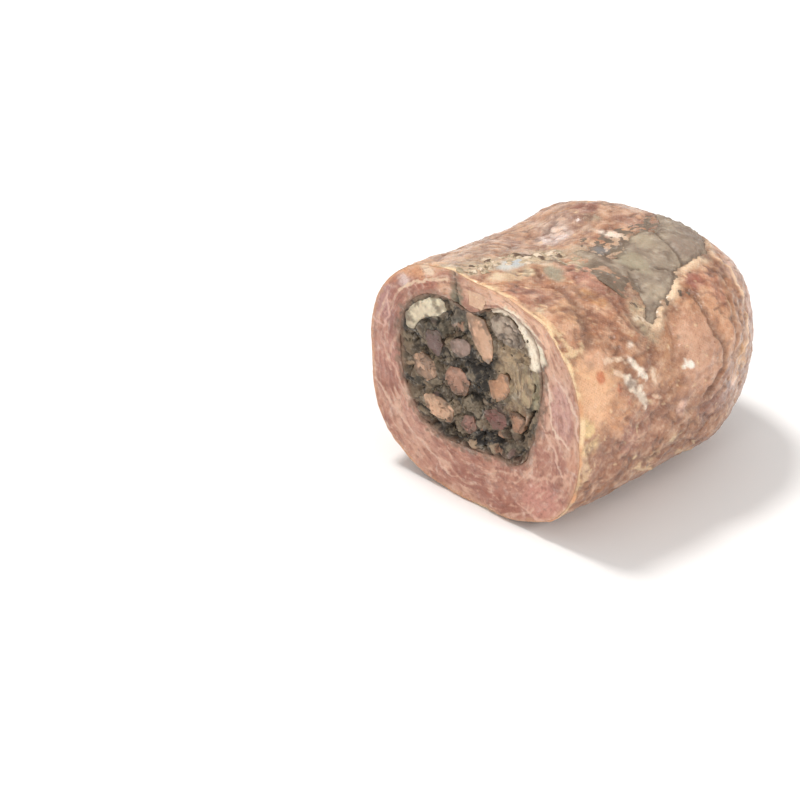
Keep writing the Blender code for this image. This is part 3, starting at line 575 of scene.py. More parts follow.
def on_closed_curve(points, turn):
    """The smooth closed curve through (degrees, distance) points, at many angles in radians."""
    laps = np.array([(angle + 360 * lap, distance) for lap in (-1, 0, 1) for angle, distance in points])
    degrees = np.degrees(turn) % 360
    after = np.searchsorted(laps[:, 0], degrees, side="right")
    a0, a1, a2, a3 = (laps[after + step, 0] for step in (-2, -1, 0, 1))
    d0, d1, d2, d3 = (laps[after + step, 1] for step in (-2, -1, 0, 1))
    span = a2 - a1
    slope1 = (d2 - d0) / (a2 - a0) * span
    slope2 = (d3 - d1) / (a3 - a1) * span
    t = (degrees - a1) / span
    ends = (2 * t**3 - 3 * t**2 + 1) * d1 + (3 * t**2 - 2 * t**3) * d2
    return ends + (t**3 - 2 * t**2 + t) * slope1 + (t**3 - t**2) * slope2


def turns(count):
    """Even angles round the roll, as one row."""
    return np.arange(count)[None, :] * (2 * math.pi / count)


def end_closing(along, full_length, end_length):
    """The share of its full size that a section has, as the roll closes at its far end."""
    t = np.clip((along - (full_length - end_length)) / end_length, 0.0, 1.0)
    return (1 - t**END_FULLNESS) ** (1 / END_FULLNESS)


def middle_share(along):
    """0 at both ends of the roll and 1 half way."""
    return np.sin(np.pi * np.clip(along / ROLL_LENGTH, 0.0, 1.0))


def half_height(along):
    return HALF_HEIGHT * (1 - MIDDLE_LOWER * middle_share(along))


def axis_height(along):
    """The height of a section's middle above what the roll lies on."""
    closing = end_closing(along, ROLL_LENGTH, END_LENGTH)
    return half_height(along) * (1 - END_DROP * (1 - closing)) - FOOT_SAG


def lean_of(turn):
    """Degrees from the top towards +X, from -180 to 180."""
    return (90 - np.degrees(turn) + 180) % 360 - 180


def roll_radius(turn, along):
    """Distance from the section's middle to the roll's smooth surface, as in the frame."""
    wide = HALF_WIDTH * (1 + MIDDLE_WIDER * middle_share(along))
    across = np.abs(np.cos(turn) / wide) ** SQUARENESS
    upright = np.abs(np.sin(turn) / half_height(along)) ** SQUARENESS
    radius = (across + upright) ** (-1 / SQUARENESS)
    swell = np.zeros(radius.shape)
    for at_lean, at_along, height, lean_spread, along_spread in SWELLS:
        apart = (lean_of(turn) - at_lean + 180) % 360 - 180
        swell += height * soft_spot(apart, along, 0.0, at_along, lean_spread, along_spread)
    swell += UNEVEN_DEPTH * lumps(radius * np.cos(turn), along, radius * np.sin(turn), UNEVEN_SIZE)
    return (radius + swell) * end_closing(along, ROLL_LENGTH, END_LENGTH)


def section_points(radius, turn, along):
    """Points at a distance from the section's middle, kept above the surface that the roll lies on."""
    x = radius * np.cos(turn)
    z = np.maximum(0.0, axis_height(along) + radius * np.sin(turn))
    return np.stack([x, along, z], axis=-1)


def core_edge(turn, along):
    """Distance from the section's middle to the outside of the stuffing."""
    section = roll_radius(turn, along) / roll_radius(turn, np.zeros(np.shape(along)))
    closing = end_closing(along, STUFFING_LENGTH, STUFFING_END_LENGTH)
    return on_closed_curve(STUFFING_EDGE, turn) * np.minimum(1.0, section) * closing


def core_rings(turn, stations, wider=0.0):
    """Rings of points along the outside of the stuffing, or a little wider."""
    turn, along = np.broadcast_arrays(turn, np.array(stations)[:, None])
    return section_points(core_edge(turn, along) + wider, turn, along)


def skin_form(turn, along, depth):
    """Points of the skin's outside, or of a surface at a depth inside it, rounded at the closed end."""
    rise = np.clip((along - (ROLL_LENGTH - END_LENGTH)) / END_LENGTH, 0.0, 1.0)
    radius = roll_radius(turn, along) - depth * np.sqrt(1 - rise**2)
    points = section_points(np.maximum(radius, 0.0), turn, along)
    points[..., 1] -= depth * rise
    points[..., 2] = np.maximum(points[..., 2], np.maximum(depth, 0.0))
    return points


def rim_thickness(turn):
    """How thick the skin is where it is cut through."""
    return 0.95 + 0.75 * lumps(9 * np.cos(turn), 0.0, 9 * np.sin(turn), 2.6, 12.0)


def thickness_inward(at_rim, stations, full):
    """A layer's thickness behind the cut, from what it is at the rim to its full thickness."""
    thickening = ramp(SKIN_THICKENS_FROM, SKIN_THICKENS_OVER, np.array(stations))[:, None]
    return at_rim + (full - at_rim) * thickening


def cut_wave(x, z):
    """How the cut wavers along the roll."""
    return CUT_WAVE_DEPTH * lumps(x, 3.0, z, CUT_WAVE_SIZE)


def rim_ripple(x, z):
    """The smaller unevenness of the cut at the skin."""
    return 0.25 * lumps(x, 0.0, z, 2.5, 4.0)


def in_millimetres(entries):
    """Spots, streaks or creases of the skin, with their leans turned to millimetres round the roll."""
    scaled = []
    for entry in entries:
        if isinstance(entry[-1], tuple):
            scaled.append(entry[:-1] + (path_in_millimetres(entry[-1]),))
        else:
            scaled.append((entry[0] * MM_PER_DEGREE,) + entry[1:])
    return scaled


def path_in_millimetres(path):
    return [(lean * MM_PER_DEGREE, along) for lean, along in path]


def opening_distance(across, along):
    """Millimetres from the opening's ragged edge, negative inside. Along the seam it opens only in places."""
    left = path_in_millimetres((left, at) for at, left, _ in OPENING)
    right = path_in_millimetres((right, at) for at, _, right in OPENING)
    outline = [(left[0][0], -4.0)] + left + right[::-1] + [(right[0][0], -4.0)]
    beside_patch = fall(13.0, 17.0, across) * fall(50.0, 55.0, along)
    seam = np.maximum(fall(36.0, 45.0, along), beside_patch)
    closed = (2.4 + 5.5 * lumps(0.5 * across, along, 2.0, 6.5, 44.0)) * seam
    torn = distance_to_outline(across, along, outline) + closed
    torn = np.minimum(torn, distance_to_outline(across, along, path_in_millimetres(TORN_CORNER)))
    ragged = 1.2 * rough(across, along, 0.0, 5.0, 31.0) + 0.45 * lumps(across, along, 5.0, 1.3, 3.0)
    filmed_over = 4.0 * soft_spot(across, along, -2.3, 20.0, 4.5, 8.0)
    return torn + ragged + filmed_over


def opening_dip(along):
    """How deep the opening lies under the skin."""
    depth = 0.5 + 0.8 * ramp(0.5, 5.0, along) + 0.8 * ramp(36.0, 47.0, along)
    return depth * (1 - 0.5 * ramp(88.0, 98.0, along))


def add_colours(mesh, colours):
    """Stores a linear colour for each point."""
    tint = mesh.attributes.new("tint", "FLOAT_COLOR", "POINT")
    four = np.ones((len(mesh.vertices), 4), np.float32)
    four[:, :3] = colours
    tint.data.foreach_set("color", four.ravel())


def add_numbers(mesh, name, values):
    """Stores a number for each point."""
    store = mesh.attributes.new(name, "FLOAT", "POINT")
    store.data.foreach_set("value", np.asarray(values, np.float32).ravel())


def add_map(mesh, places):
    """A texture map in tenths of a metre, round the roll and along it, whole where the loop closes."""
    layer = mesh.uv_layers.new(name="skin_map")
    vertex = np.empty(len(mesh.loops), np.int32)
    mesh.loops.foreach_get("vertex_index", vertex)
    start = np.empty(len(mesh.polygons), np.int32)
    size = np.empty(len(mesh.polygons), np.int32)
    mesh.polygons.foreach_get("loop_start", start)
    mesh.polygons.foreach_get("loop_total", size)
    place = places[vertex]
    highest = np.repeat(np.maximum.reduceat(place[:, 0], start), size)
    lap = 360 * MM_PER_DEGREE
    place[:, 0] += np.where(highest - place[:, 0] > lap / 2, lap, 0.0)
    layer.data.foreach_set("uv", (place / 100).astype(np.float32).ravel())


def mesh_from_faces(name, points, quads, triangles=()):
    """A mesh from arrays of points in millimetres and of faces, with its faces pointing out."""
    points = np.asarray(points, float).reshape(-1, 3)
    quads = np.asarray(quads, np.int64).reshape(-1, 4)
    triangles = np.asarray(triangles, np.int64).reshape(-1, 3)
    fans = np.concatenate([quads[:, [0, 1, 2]], quads[:, [0, 2, 3]], triangles])
    a, b, c = (points[fans[:, corner]] for corner in range(3))
    if np.einsum("ij,ij->i", a, np.cross(b, c)).sum() < 0:
        quads, triangles = quads[:, ::-1], triangles[:, ::-1]
    mesh = bpy.data.meshes.new(name)
    mesh.vertices.add(len(points))
    mesh.vertices.foreach_set("co", ((points - (0.0, ORIGIN_ALONG, 0.0)) * MM).astype(np.float32).ravel())
    corners = np.concatenate([quads.ravel(), triangles.ravel()])
    mesh.loops.add(len(corners))
    mesh.loops.foreach_set("vertex_index", corners.astype(np.int32))
    sizes = np.concatenate([np.full(len(quads), 4), np.full(len(triangles), 3)])
    starts = np.concatenate([[0], np.cumsum(sizes)[:-1]])
    mesh.polygons.add(len(sizes))
    mesh.polygons.foreach_set("loop_start", starts.astype(np.int32))
    mesh.update(calc_edges=True)
    mesh.validate()
    mesh.shade_smooth()
    return mesh


def with_poles(rings):
    """The same rings with the first and the last drawn together to one point."""
    rings = np.array(rings)
    rings[0] = rings[0].mean(axis=0)
    rings[-1] = rings[-1].mean(axis=0)
    return rings


def ball_values(rings):
    """Values given for each ring and segment, in the order of a ball's points."""
    return np.concatenate([rings[0][:1], rings[1:-1].reshape((-1,) + rings.shape[2:]), rings[-1][:1]])


def ball_mesh(name, rings, colours):
    """A closed painted mesh from rings of points, whose first and last rings are each drawn to one point."""
    rings = with_poles(rings)
    count, segments = rings.shape[0] - 2, rings.shape[1]
    around = np.arange(segments)
    beyond = (around + 1) % segments
    low = 1 + np.arange(count - 1)[:, None] * segments
    high = low + segments
    quads = np.stack([low + around, low + beyond, high + beyond, high + around], -1)
    points = ball_values(rings)
    last = 1 + (count - 1) * segments
    first_fan = np.stack([np.zeros(segments, int), 1 + beyond, 1 + around], -1)
    last_fan = np.stack([np.full(segments, len(points) - 1), last + around, last + beyond], -1)
    mesh = mesh_from_faces(name, points, quads, np.concatenate([first_fan, last_fan]))
    add_colours(mesh, ball_values(colours))
    return mesh


def add_piece(name, mesh, material, slot, *nodes):
    """Puts a finished piece in the scene, on the one body."""
    piece = bpy.data.objects.new(name, mesh)
    bpy.context.scene.collection.objects.link(piece)
    mesh.materials.clear()
    mesh.materials.append(material)
    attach(piece, "root")
    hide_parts(*nodes)


class Paint:
    """The colours of many points, laid over each other layer by layer."""

    def __init__(self, shape, colour):
        self.colours = np.empty(tuple(shape) + (3,))
        self.colours[:] = linear(*colour)

    def lay(self, colour, share):
        share = np.clip(share, 0.0, 1.0)[..., None]
        self.colours += (linear(*colour) - self.colours) * share

    def where(self, colour, strength, low, high, value):
        """Lays a colour where a value is high: not at all below low, and in full above high."""
        self.lay(colour, strength * ramp(low, high, value))

    def spots(self, px, py, spots):
        """Soft ovals: middle, reach each way, tilt in degrees, colour and strength."""
        for x, y, reach_x, reach_y, tilt, colour, strength in spots:
            across, up = px - x, py - y
            turn = math.radians(tilt)
            along_x = (across * math.cos(turn) + up * math.sin(turn)) / reach_x
            along_y = (up * math.cos(turn) - across * math.sin(turn)) / reach_y
            self.lay(colour, strength * fall(0.55, 1.25, np.hypot(along_x, along_y)))

    def streaks(self, px, py, streaks):
        """Soft lines: width, colour, strength and the points that the line runs through."""
        for width, colour, strength, path in streaks:
            self.lay(colour, strength * fall(0.3 * width, 0.9 * width, distance_to_path(px, py, path)))


def skin_places():
    """Where the skin's points lie before its relief, from the closed end over the rim to the inside."""
    end = ROLL_LENGTH - END_LENGTH + END_LENGTH * np.sin(np.linspace(math.pi / 2, 0.0, END_RINGS))
    side = np.linspace(ROLL_LENGTH - END_LENGTH, SIDE_TO, SIDE_RINGS)[1:]
    rim_along, rim_share = np.array(SKIN_RIM).T
    along = np.concatenate([end, side, rim_along, SKIN_INSIDE])[:, None]
    turn = turns(SEGMENTS)
    at_rim = rim_thickness(turn)
    outer_depth = np.zeros((len(end) + len(side), SEGMENTS))
    inner_depth = thickness_inward(at_rim, SKIN_INSIDE, SKIN_THICK)
    depth = np.concatenate([outer_depth, rim_share[:, None] * at_rim, inner_depth])
    turn, along, depth = np.broadcast_arrays(turn, along, depth)
    at = SimpleNamespace(turn=turn, along=along, depth=depth, rim_share=depth / at_rim)
    at.lean = lean_of(turn)
    at.flat = at.lean * MM_PER_DEGREE
    at.wander_x = at.flat + 1.3 * rough(at.flat, along, 2.0, 5.0, 13.0, 4)
    at.wander_y = along + 1.3 * rough(at.flat, along, 9.0, 5.0, 17.0, 4)
    at.x, at.y, at.z = np.moveaxis(skin_form(turn, along, depth), -1, 0)
    return at


def add_skin_marks(at):
    """Adds the noise and the masks that the skin's relief and its paint share."""
    x, y, z, along, lean = at.x, at.y, at.z, at.along, at.lean
    at.outside = fall(0.2, 0.9, at.rim_share)
    at.fine = rough(x, y, z, 3.6, 5.0)
    at.coarse = rough(x, y, z, 13.0, 23.0)
    at.torn = opening_distance(at.flat, along)
    at.patch_part = ramp(36.0, 46.0, along)

    lobe = soft_spot(lean, along, 72.0, 56.0, 17.0, 13.0)
    smooth_by_the_cut = soft_spot(lean, along, 71.0, 7.0, 18.0, 11.0)
    at.busy = 1 - np.maximum(0.75 * lobe, smooth_by_the_cut)
    at.folds = at.busy * ramp(0.36, 0.5, 0.5 - np.abs(rough(x + 2.5 * at.coarse, 0.6 * y, z, 17.0, 57.0, 4)))
    at.veins = at.busy * fall(0.02, 0.22, np.abs(rough(x, 0.7 * y, z, 8.0, 97.0, 4)))
    at.veins = at.veins * ramp(-0.3, 0.4, at.coarse)
    at.nicks = fall(0.04, 0.2, np.abs(rough(x, 0.8 * y, z, 5.0, 63.0, 2)))
    at.nicks = at.nicks * ramp(0.2, 0.4, rough(x, y, z, 8.0, 113.0)) * fall(80.0, 95.0, along)

    gathers = np.abs(lumps(4.4 * np.cos(at.turn), along / 16.0, 4.4 * np.sin(at.turn), 1.0, 41.0))
    gathers = (0.5 - gathers + 0.35 * lumps(x, y, z, 12.0, 77.0)) * ramp(94.0, 110.0, along)
    at.pleats = ramp(0.12, 0.5, gathers * fall(110.5, 112.0, along))
    at.pucker = ramp(107.5, 112.0, along)

    lip_width = 0.9 + 0.8 * ramp(36.0, 44.0, lean)
    lip = np.exp(-(((at.torn - 0.7) / lip_width) ** 2)) * ramp(36.0, 46.0, along + 0.3 * lean)
    far_side = ramp(89.0, 93.0, along + 0.9 * lean) * ramp(24.0, 34.0, lean)
    at.pale_lip = lip * far_side * ramp(-0.5, 0.1, lumps(x, y, z, 5.0, 19.0) + 0.5 * at.fine)

    at.crease_depth = np.zeros(x.shape)
    at.crease_dark = np.zeros(x.shape)
    for deep, width, dark, path in in_millimetres(SKIN_CREASES):
        near = fall(0.1 * width, 0.9 * width, distance_to_path(at.wander_x, at.wander_y, path))
        at.crease_depth += deep * near
        at.crease_dark = np.maximum(at.crease_dark, dark * near)


def skin_relief(at):
    """How far each point of the skin stands out from the smooth form."""
    overlap = ramp(61.0, 64.5, at.along + 1.5 * at.fine) * fall(74.0, 88.0, at.along)
    overlap = overlap * ramp(-52.0, -40.0, at.lean) * fall(-22.0, -8.0, at.lean)
    dip = opening_dip(at.along) * fall(-1.1, 0.0, at.torn)
    fat = height_of_lines(at.wander_x, at.wander_y, in_millimetres(SKIN_STREAKS), 0.0)
    raised = 0.3 * at.fine + 0.3 * at.coarse + 0.3 * at.pale_lip + 0.8 * overlap + 0.3 * fat * (1 + at.fine)
    sunk = dip + 1.1 * at.pleats + 0.6 * at.pucker + 0.45 * at.folds + 0.15 * at.veins + 0.3 * at.nicks
    lowered = 0.25 * (1 - at.pucker) + 0.45 * ramp(68.0, 80.0, at.z)
    return (raised - sunk - at.crease_depth - lowered) * at.outside * ramp(0.0, 2.5, at.z)


def paint_skin_ground(paint, at):
    """The skin's mottled browns, its patches and its specks, with painted shade low on the +X side, painted
    sheen and painted highlights.
    """
    x, y, z = at.x, at.y, at.z
    paint.where(REDDISH, 0.8, 0.0, 0.6, rough(x, y, z, 12.0, 51.0))
    paint.where(PALE, 0.6, 0.1, 0.8, rough(x, y, z, 9.0, 61.0))
    paint.where(BROWN, 0.85, 0.0, 0.6, rough(x, y, z, 7.0, 71.0))
    # Painted shade: the skin darkens over the lower half of its +X side.
    paint.where((140, 94, 68), 0.8, 84.0, 98.0, at.lean + 9.0 * at.coarse)
    upper_left = fall(-16.0, 4.0, at.lean + 8.0 * at.coarse) * ramp(-75.0, -55.0, at.lean)
    paint.lay((188, 162, 142), 0.65 * upper_left)
    paint.where((144, 120, 102), 0.55 * upper_left, 0.0, 0.5, rough(x, y * 0.4, z, 3.2, 47.0))
    paint.where(PINK, 0.45, 0.0, 0.8, rough(x, y, z, 15.0, 81.0))
    paint.lay((184, 132, 94), 0.45)
    paint.spots(at.wander_x, at.wander_y, in_millimetres(SKIN_PATCHES))
    blotch = rough(x, y, z, 4.4, 93.0, 4)
    paint.where((134, 88, 66), 0.5 * at.busy, 0.05, 0.5, blotch)
    paint.where((222, 182, 152), 0.5 * at.busy, 0.1, 0.55, -blotch)
    paint.lay(VEIN_BROWN, 0.6 * at.veins)
    mottle = rough(x, y, z, 2.2, 91.0)
    paint.where(DARK_RED, 0.4 * at.busy, 0.1, 0.7, mottle)
    paint.where((224, 188, 160), 0.42 * at.busy, 0.15, 0.75, -mottle)
    # Cream specks of fat that also serve as painted highlights.
    paint.where(CREAM, 0.75, 0.55, 0.9, rough(x, y, z, 3.0, 101.0))


def paint_by_the_opening(paint, at):
    """The skin beside the seam and round the torn place."""
    x, y, z = at.x, at.y, at.z
    seam_side = fall(1.5, 9.0, at.torn + 3.0 * at.fine) * (1 - at.patch_part)
    seam_bits = rough(x, y, z, 2.6, 7.0)
    paint.lay((198, 176, 146), 0.75 * seam_side)
    paint.where((150, 138, 112), 0.6 * seam_side, 0.1, 0.6, seam_bits)
    paint.where((232, 214, 190), 0.7 * seam_side, 0.3, 0.7, -seam_bits)
    paint.where((112, 84, 64), 0.8 * seam_side, 0.35, 0.6, rough(x, y, z, 1.9, 27.0))
    paint.spots(at.wander_x, at.wander_y, in_millimetres(SEAM_SPOTS))
    paint.lay((138, 112, 92), 0.75 * at.patch_part * fall(0.0, 3.2, at.torn + 1.6 * at.fine))
    left_of_patch = at.patch_part * fall(60.0, 68.0, at.along + 3.0 * at.coarse) * fall(14.0, 24.0, at.lean)
    paint.lay((192, 168, 142), 0.75 * left_of_patch * fall(2.5, 8.0, at.torn + 2.0 * at.fine))
    paint.lay((238, 208, 174), at.pale_lip)
    paint.where((206, 170, 138), 0.6 * at.pale_lip, 0.0, 0.6, at.fine)


def paint_skin_lines(paint, at):
    """Streaks of fat and of painted sheen, and folds, nicks, creases and pleats with painted shade in them.
    """
    ragged = 0.5 * rough(at.x, at.y, at.z, 1.6, 33.0)
    paint.streaks(at.wander_x + ragged, at.wander_y - ragged, in_millimetres(SKIN_STREAKS))
    # Painted shade in the folds, the nicks, the creases and pits, and the pleats, where the skin is sunk.
    paint.lay(VEIN_BROWN, 0.4 * at.folds)
    paint.lay((96, 64, 48), 0.65 * at.nicks * at.busy)
    paint.lay((104, 68, 52), at.crease_dark)
    paint.where(CREVICE_SHADE, 1.0, 0.55, 1.0, at.crease_dark)
    paint.lay((150, 106, 84), 0.6 * at.pleats)
    paint.lay((120, 84, 66), 0.5 * at.pucker)
    paint.lay((112, 92, 74), fall(-1.2, -0.3, at.torn))


def paint_skin_rim(paint, at):
    """The pale edge where the skin is cut through."""
    x, z, lean = at.x, at.z, at.lean
    edge_width = np.clip(1.2 + 1.9 * lumps(x, 0.0, z, 7.0, 3.0), 0.5, 3.4)
    edge = fall(0.5 * edge_width, 1.2 * edge_width, at.along + at.depth * 0.2 + 0.5 * at.fine)
    broken = 0.6 + 0.4 * ramp(-0.35, 0.15, rough(x, 3.0, z, 4.0, 8.0))
    right_rim = ramp(8.0, 20.0, lean) * fall(96.0, 120.0, lean)
    paint.lay((248, 212, 166), edge * np.maximum(0.85 * broken, right_rim))
    paint.where(ORANGE, 0.7 * edge, -0.1, 0.4, lumps(x, 30.0, z, 10.0, 8.0) + 0.35 * (lean < -25))
    paint.lay((206, 156, 132), 0.75 * ramp(0.25, 1.0, at.rim_share) * (1 - 0.6 * broken))


def make_skin():
    at = skin_places()
    add_skin_marks(at)
    points = skin_form(at.turn, at.along, at.depth - skin_relief(at))
    points[..., 2] = np.maximum(points[..., 2], at.depth * (1 - at.outside))
    points[..., 1] += (cut_wave(at.x, at.z) + rim_ripple(at.x, at.z)) * fall(0.5, 4.0, at.along)
    paint = Paint(at.x.shape, TAN)
    paint_skin_ground(paint, at)
    paint_by_the_opening(paint, at)
    paint_skin_lines(paint, at)
    paint_skin_rim(paint, at)
    mesh = ball_mesh("roll_skin", points, paint.colours)
    add_map(mesh, ball_values(np.stack([at.flat, at.along], -1)))
    return mesh


def smooth_outline(corners):
    """A cut piece's outline as even points, with its corners just rounded and its sides a little ragged."""
    points = np.array(corners, float)
    for _ in range(2):
        after = np.roll(points, -1, axis=0)
        points = np.stack([points * 0.87 + after * 0.13, points * 0.13 + after * 0.87], 1).reshape(-1, 2)
    closed = np.concatenate([points, points[:1]])
    travelled = np.concatenate([[0.0], np.cumsum(np.hypot(*np.diff(closed, axis=0).T))])
    at = np.linspace(0.0, travelled[-1], OUTLINE_POINTS, endpoint=False)
    x, z = np.interp(at, travelled, closed[:, 0]), np.interp(at, travelled, closed[:, 1])
    ragged_x, ragged_z = (
        0.45 * lumps(x, level, z, 2.2, 6.0) + 0.2 * lumps(x, level, z, 0.9, 2.0) for level in (5.0, 15.0)
    )
    return list(zip((x + ragged_x).tolist(), (z + ragged_z).tolist()))


def distance_to_pieces(x, z, names):
    """Millimetres from the outline of the nearest of some pieces, negative inside one."""
    nearest = np.full(x.shape, 1e3)
    for name in names:
        nearest = np.minimum(nearest, distance_to_outline(x, z, smooth_outline(PIECES[name][1])))
    return nearest


def parted_joint(x, z):
    """Where the meat and the stuffing have come apart in the cut, from 0 to 1."""
    return ramp(0.15, 0.55, lumps(x, 8.0, z, 6.0, 4.0))


def meat_marks(x, z, from_rim, from_hole):
    """The noise and the masks that the cut meat's relief and its paint share."""
    at = SimpleNamespace(x=x, z=z, from_rim=from_rim, from_hole=from_hole)
    at.wander_x = x + rough(x, 0.0, z, 4.0, 15.0, 4)
    at.wander_z = z + rough(x, 0.0, z, 4.0, 25.0, 4)
    radius = np.hypot(x, z - FIBRES_ROUND_HEIGHT)
    around = np.arctan2(z - FIBRES_ROUND_HEIGHT, x)
    at.fibre = rough(radius + 1.5 * lumps(x, 1.0, z, 8.0, 2.0), around * 7.0, 0.0, 1.8, 35.0)
    at.fine = rough(x, 0.0, z, 2.0, 45.0)
    at.marbling = rough(x, 4.0, z, 8.0, 55.0)
    seam_width = (0.65 + 0.6 * lumps(x, 2.0, z, 3.0, 9.0)) * (0.55 + 1.1 * fall(70.0, 76.0, z))
    from_seam = distance_to_path(at.wander_x, at.wander_z, SEAM)
    at.seam = fall(0.3 * seam_width, 1.2 * seam_width, from_seam)
    at.by_the_seam = fall(1.2, 3.4, from_seam + 0.5 * at.fine) * (1 - 0.4 * ramp(0.1, 0.6, at.fine))
    at.crack = fall(0.4, 1.3, distance_to_path(at.wander_x, at.wander_z, CRACK))
    at.parted = parted_joint(x, z) * (1 - ramp(58.0, 62.0, z) * ramp(8.0, 12.0, x))
    return at


def meat_relief(at):
    """How far the cut meat stands forward."""
    fat = height_of_lines(at.wander_x, at.wander_z, MEAT_STREAKS, 0.2)
    under_piece = fall(-0.45, -0.1, distance_to_pieces(at.x, at.z, [PIECE_IN_THE_MEAT]))
    forward = 0.2 * at.fine + 0.28 * at.fibre + 0.35 * at.marbling + 0.2 * fat
    forward = forward - 0.55 * at.seam - 1.6 * at.crack
    joint = 0.6 * at.parted * fall(0.0, 0.6, at.from_hole)
    return forward * ramp(0.0, 0.6, at.from_rim) - joint - 2.0 * under_piece


def paint_meat(at):
    x, z, fine = at.x, at.z, at.fine
    paint = Paint(x.shape, (186, 133, 113))
    paint.where((154, 100, 84), 0.85, 0.0, 0.7, at.marbling)
    paint.where((218, 174, 150), 0.75, 0.0, 0.7, -at.marbling)
    paint.spots(at.wander_x, at.wander_z, MEAT_PATCHES)
    paint.where((142, 92, 76), 0.6, 0.05, 0.7, at.fibre)
    paint.where((230, 192, 168), 0.6, 0.1, 0.7, -at.fibre)
    paint.where((230, 190, 166), 0.55, 0.2, 0.8, fine)
    paint.where((138, 90, 74), 0.5, 0.2, 0.8, -fine)
    paint.lay((226, 176, 138), 0.45 * fall(0.0, 1.4, at.from_rim + fine))
    paint.streaks(at.wander_x, at.wander_z, MEAT_STREAKS + MEAT_DARK_LINES)
    stained = fall(0.2, 3.0, at.from_hole + 2.6 * rough(x, 9.0, z, 3.0, 75.0))
    stained = stained * (1 - 0.9 * ramp(60.0, 65.0, z) * ramp(4.0, 9.0, x)) * (1 - 0.5 * ramp(62.0, 68.0, z))
    paint.lay((128, 102, 82), 0.75 * stained)
    paint.where((72, 60, 48), 0.5 * stained, 0.1, 0.6, fine)
    paint.lay((132, 122, 100), at.by_the_seam * (0.45 + 0.5 * fall(73.0, 80.0, z)))
    paint.lay((70, 64, 50), at.seam * (0.5 + 0.4 * fall(72.0, 79.0, z)))
    # Painted shade deep in the crack.
    paint.lay(CRACK_SHADE, at.crack)
    # Painted shade in the gap where the meat has parted from the stuffing.
    paint.lay(CREVICE_SHADE, 0.6 * at.parted * fall(0.0, 0.5, at.from_hole))
    return paint


def make_meat():
    """The meat between the skin and the stuffing, with its cut face."""
    turn = turns(SEGMENTS)
    at_rim = rim_thickness(turn) + RIM_TO_MEAT
    outer_along = np.array(MEAT_OUTSIDE)[:, None]
    outer_depth = thickness_inward(at_rim, MEAT_OUTSIDE, SKIN_THICK + SKIN_TO_MEAT)
    outer = skin_form(*np.broadcast_arrays(turn, outer_along, outer_depth))

    rim = skin_form(turn, np.zeros(turn.shape), at_rim)[0]
    hole = core_rings(turn, (0.0,), FACE_TO_STUFFING)[0]
    share = np.linspace(0.0, 1.0, FACE_RINGS)[:, None]
    face = rim + (hole - rim) * share[..., None]
    width = np.hypot(*(hole - rim)[:, [0, 2]].T)[None]
    at = meat_marks(face[..., 0], face[..., 2], share * width, (1 - share) * width)
    ripple = rim_ripple(at.x, at.z) * fall(0.0, 0.6, at.from_rim)
    face[..., 1] += cut_wave(at.x, at.z) + ripple - meat_relief(at)

    wall = core_rings(turn, MEAT_HOLE, MEAT_TO_STUFFING)
    outer_colours = np.broadcast_to(linear(*PINK), outer.shape)
    wall_colours = np.broadcast_to(linear(96, 70, 54), wall.shape)
    colours = np.concatenate([outer_colours, paint_meat(at).colours, wall_colours])
    return ball_mesh("roll_meat", np.concatenate([outer, face, wall]), colours)


def stuffing_marks(x, z):
    """The noise and the masks that the cut stuffing's relief and its paint share."""
    at = SimpleNamespace(x=x, z=z)
    at.warp_x = x + 1.8 * lumps(x, 1.0, z, 4.0, 3.0) + 0.8 * lumps(x, 1.0, z, 1.5, 8.0)
    at.warp_z = z + 1.8 * lumps(x, 2.0, z, 4.0, 5.0) + 0.8 * lumps(x, 2.0, z, 1.5, 9.0)
    level = np.zeros(x.shape)
    at.chunk, at.chunk_chance, at.chunk_facet = cells(at.warp_x, level, at.warp_z * 1.3, 7.6, 0.4)
    at.bit, at.bit_chance, at.bit_facet = cells(at.warp_x, level, at.warp_z * 1.2, 3.2, 9.4)
    at.fine = rough(x, 6.0, z, 1.5, 65.0)
    at.cloudy = rough(x, 9.0, z, 4.5, 85.0, 4)
    at.tone = rough(x, 19.0, z, 6.5, 35.0, 4)
    at.away_from_olive = ramp(0.8, 1.7, np.hypot((x - 21.0) / 8.5, (z - 54.0) / 13.0))
    crescent_width = 0.7 + 1.1 * ramp(12.0, 24.0, x)
    at.crescent = fall(0.8, 1.9, distance_to_path(at.warp_x, at.warp_z, CRESCENT) / crescent_width)
    at.crack = fall(0.3, 1.2, distance_to_path(at.warp_x, at.warp_z, CRACK))
    at.from_pieces = distance_to_pieces(x, z, PIECES)
    at.beside_piece = fall(0.0, 1.0, at.from_pieces)
    at.gap = at.beside_piece * ramp(0.15, 0.5, lumps(x, 12.0, z, 3.5, 21.0))
    return at


def stuffing_relief(at):
    """How far the cut stuffing stands forward: chunks and bits, softened where they stand out most."""
    chunks = ramp(0.0, 0.3, at.chunk) + 0.7 * (at.chunk_chance - 0.5) + 0.35 * at.chunk_facet
    bits = 0.35 * ramp(0.0, 0.4, at.bit) + 0.3 * (at.bit_chance - 0.5) + 0.35 * at.bit_facet
    rugged = (0.25 + 0.75 * at.away_from_olive) * (0.6 + 0.8 * ramp(-0.3, 0.4, at.tone))
    forward = (0.75 * (chunks - 0.9) + 0.55 * (bits - 0.2)) * rugged + 0.2 * at.fine + 0.25 * at.cloudy + 0.3
    forward = np.minimum(forward, 0.5 + 0.35 * forward)
    forward = forward * (1 - at.crescent) + at.crescent * (0.5 + 0.15 * at.fine)
    forward = forward + (0.5 + 0.12 * at.fine - forward) * at.beside_piece * 0.85
    return forward - 2.0 * at.crack - 0.9 * at.gap - 1.8 * fall(-0.5, -0.12, at.from_pieces)


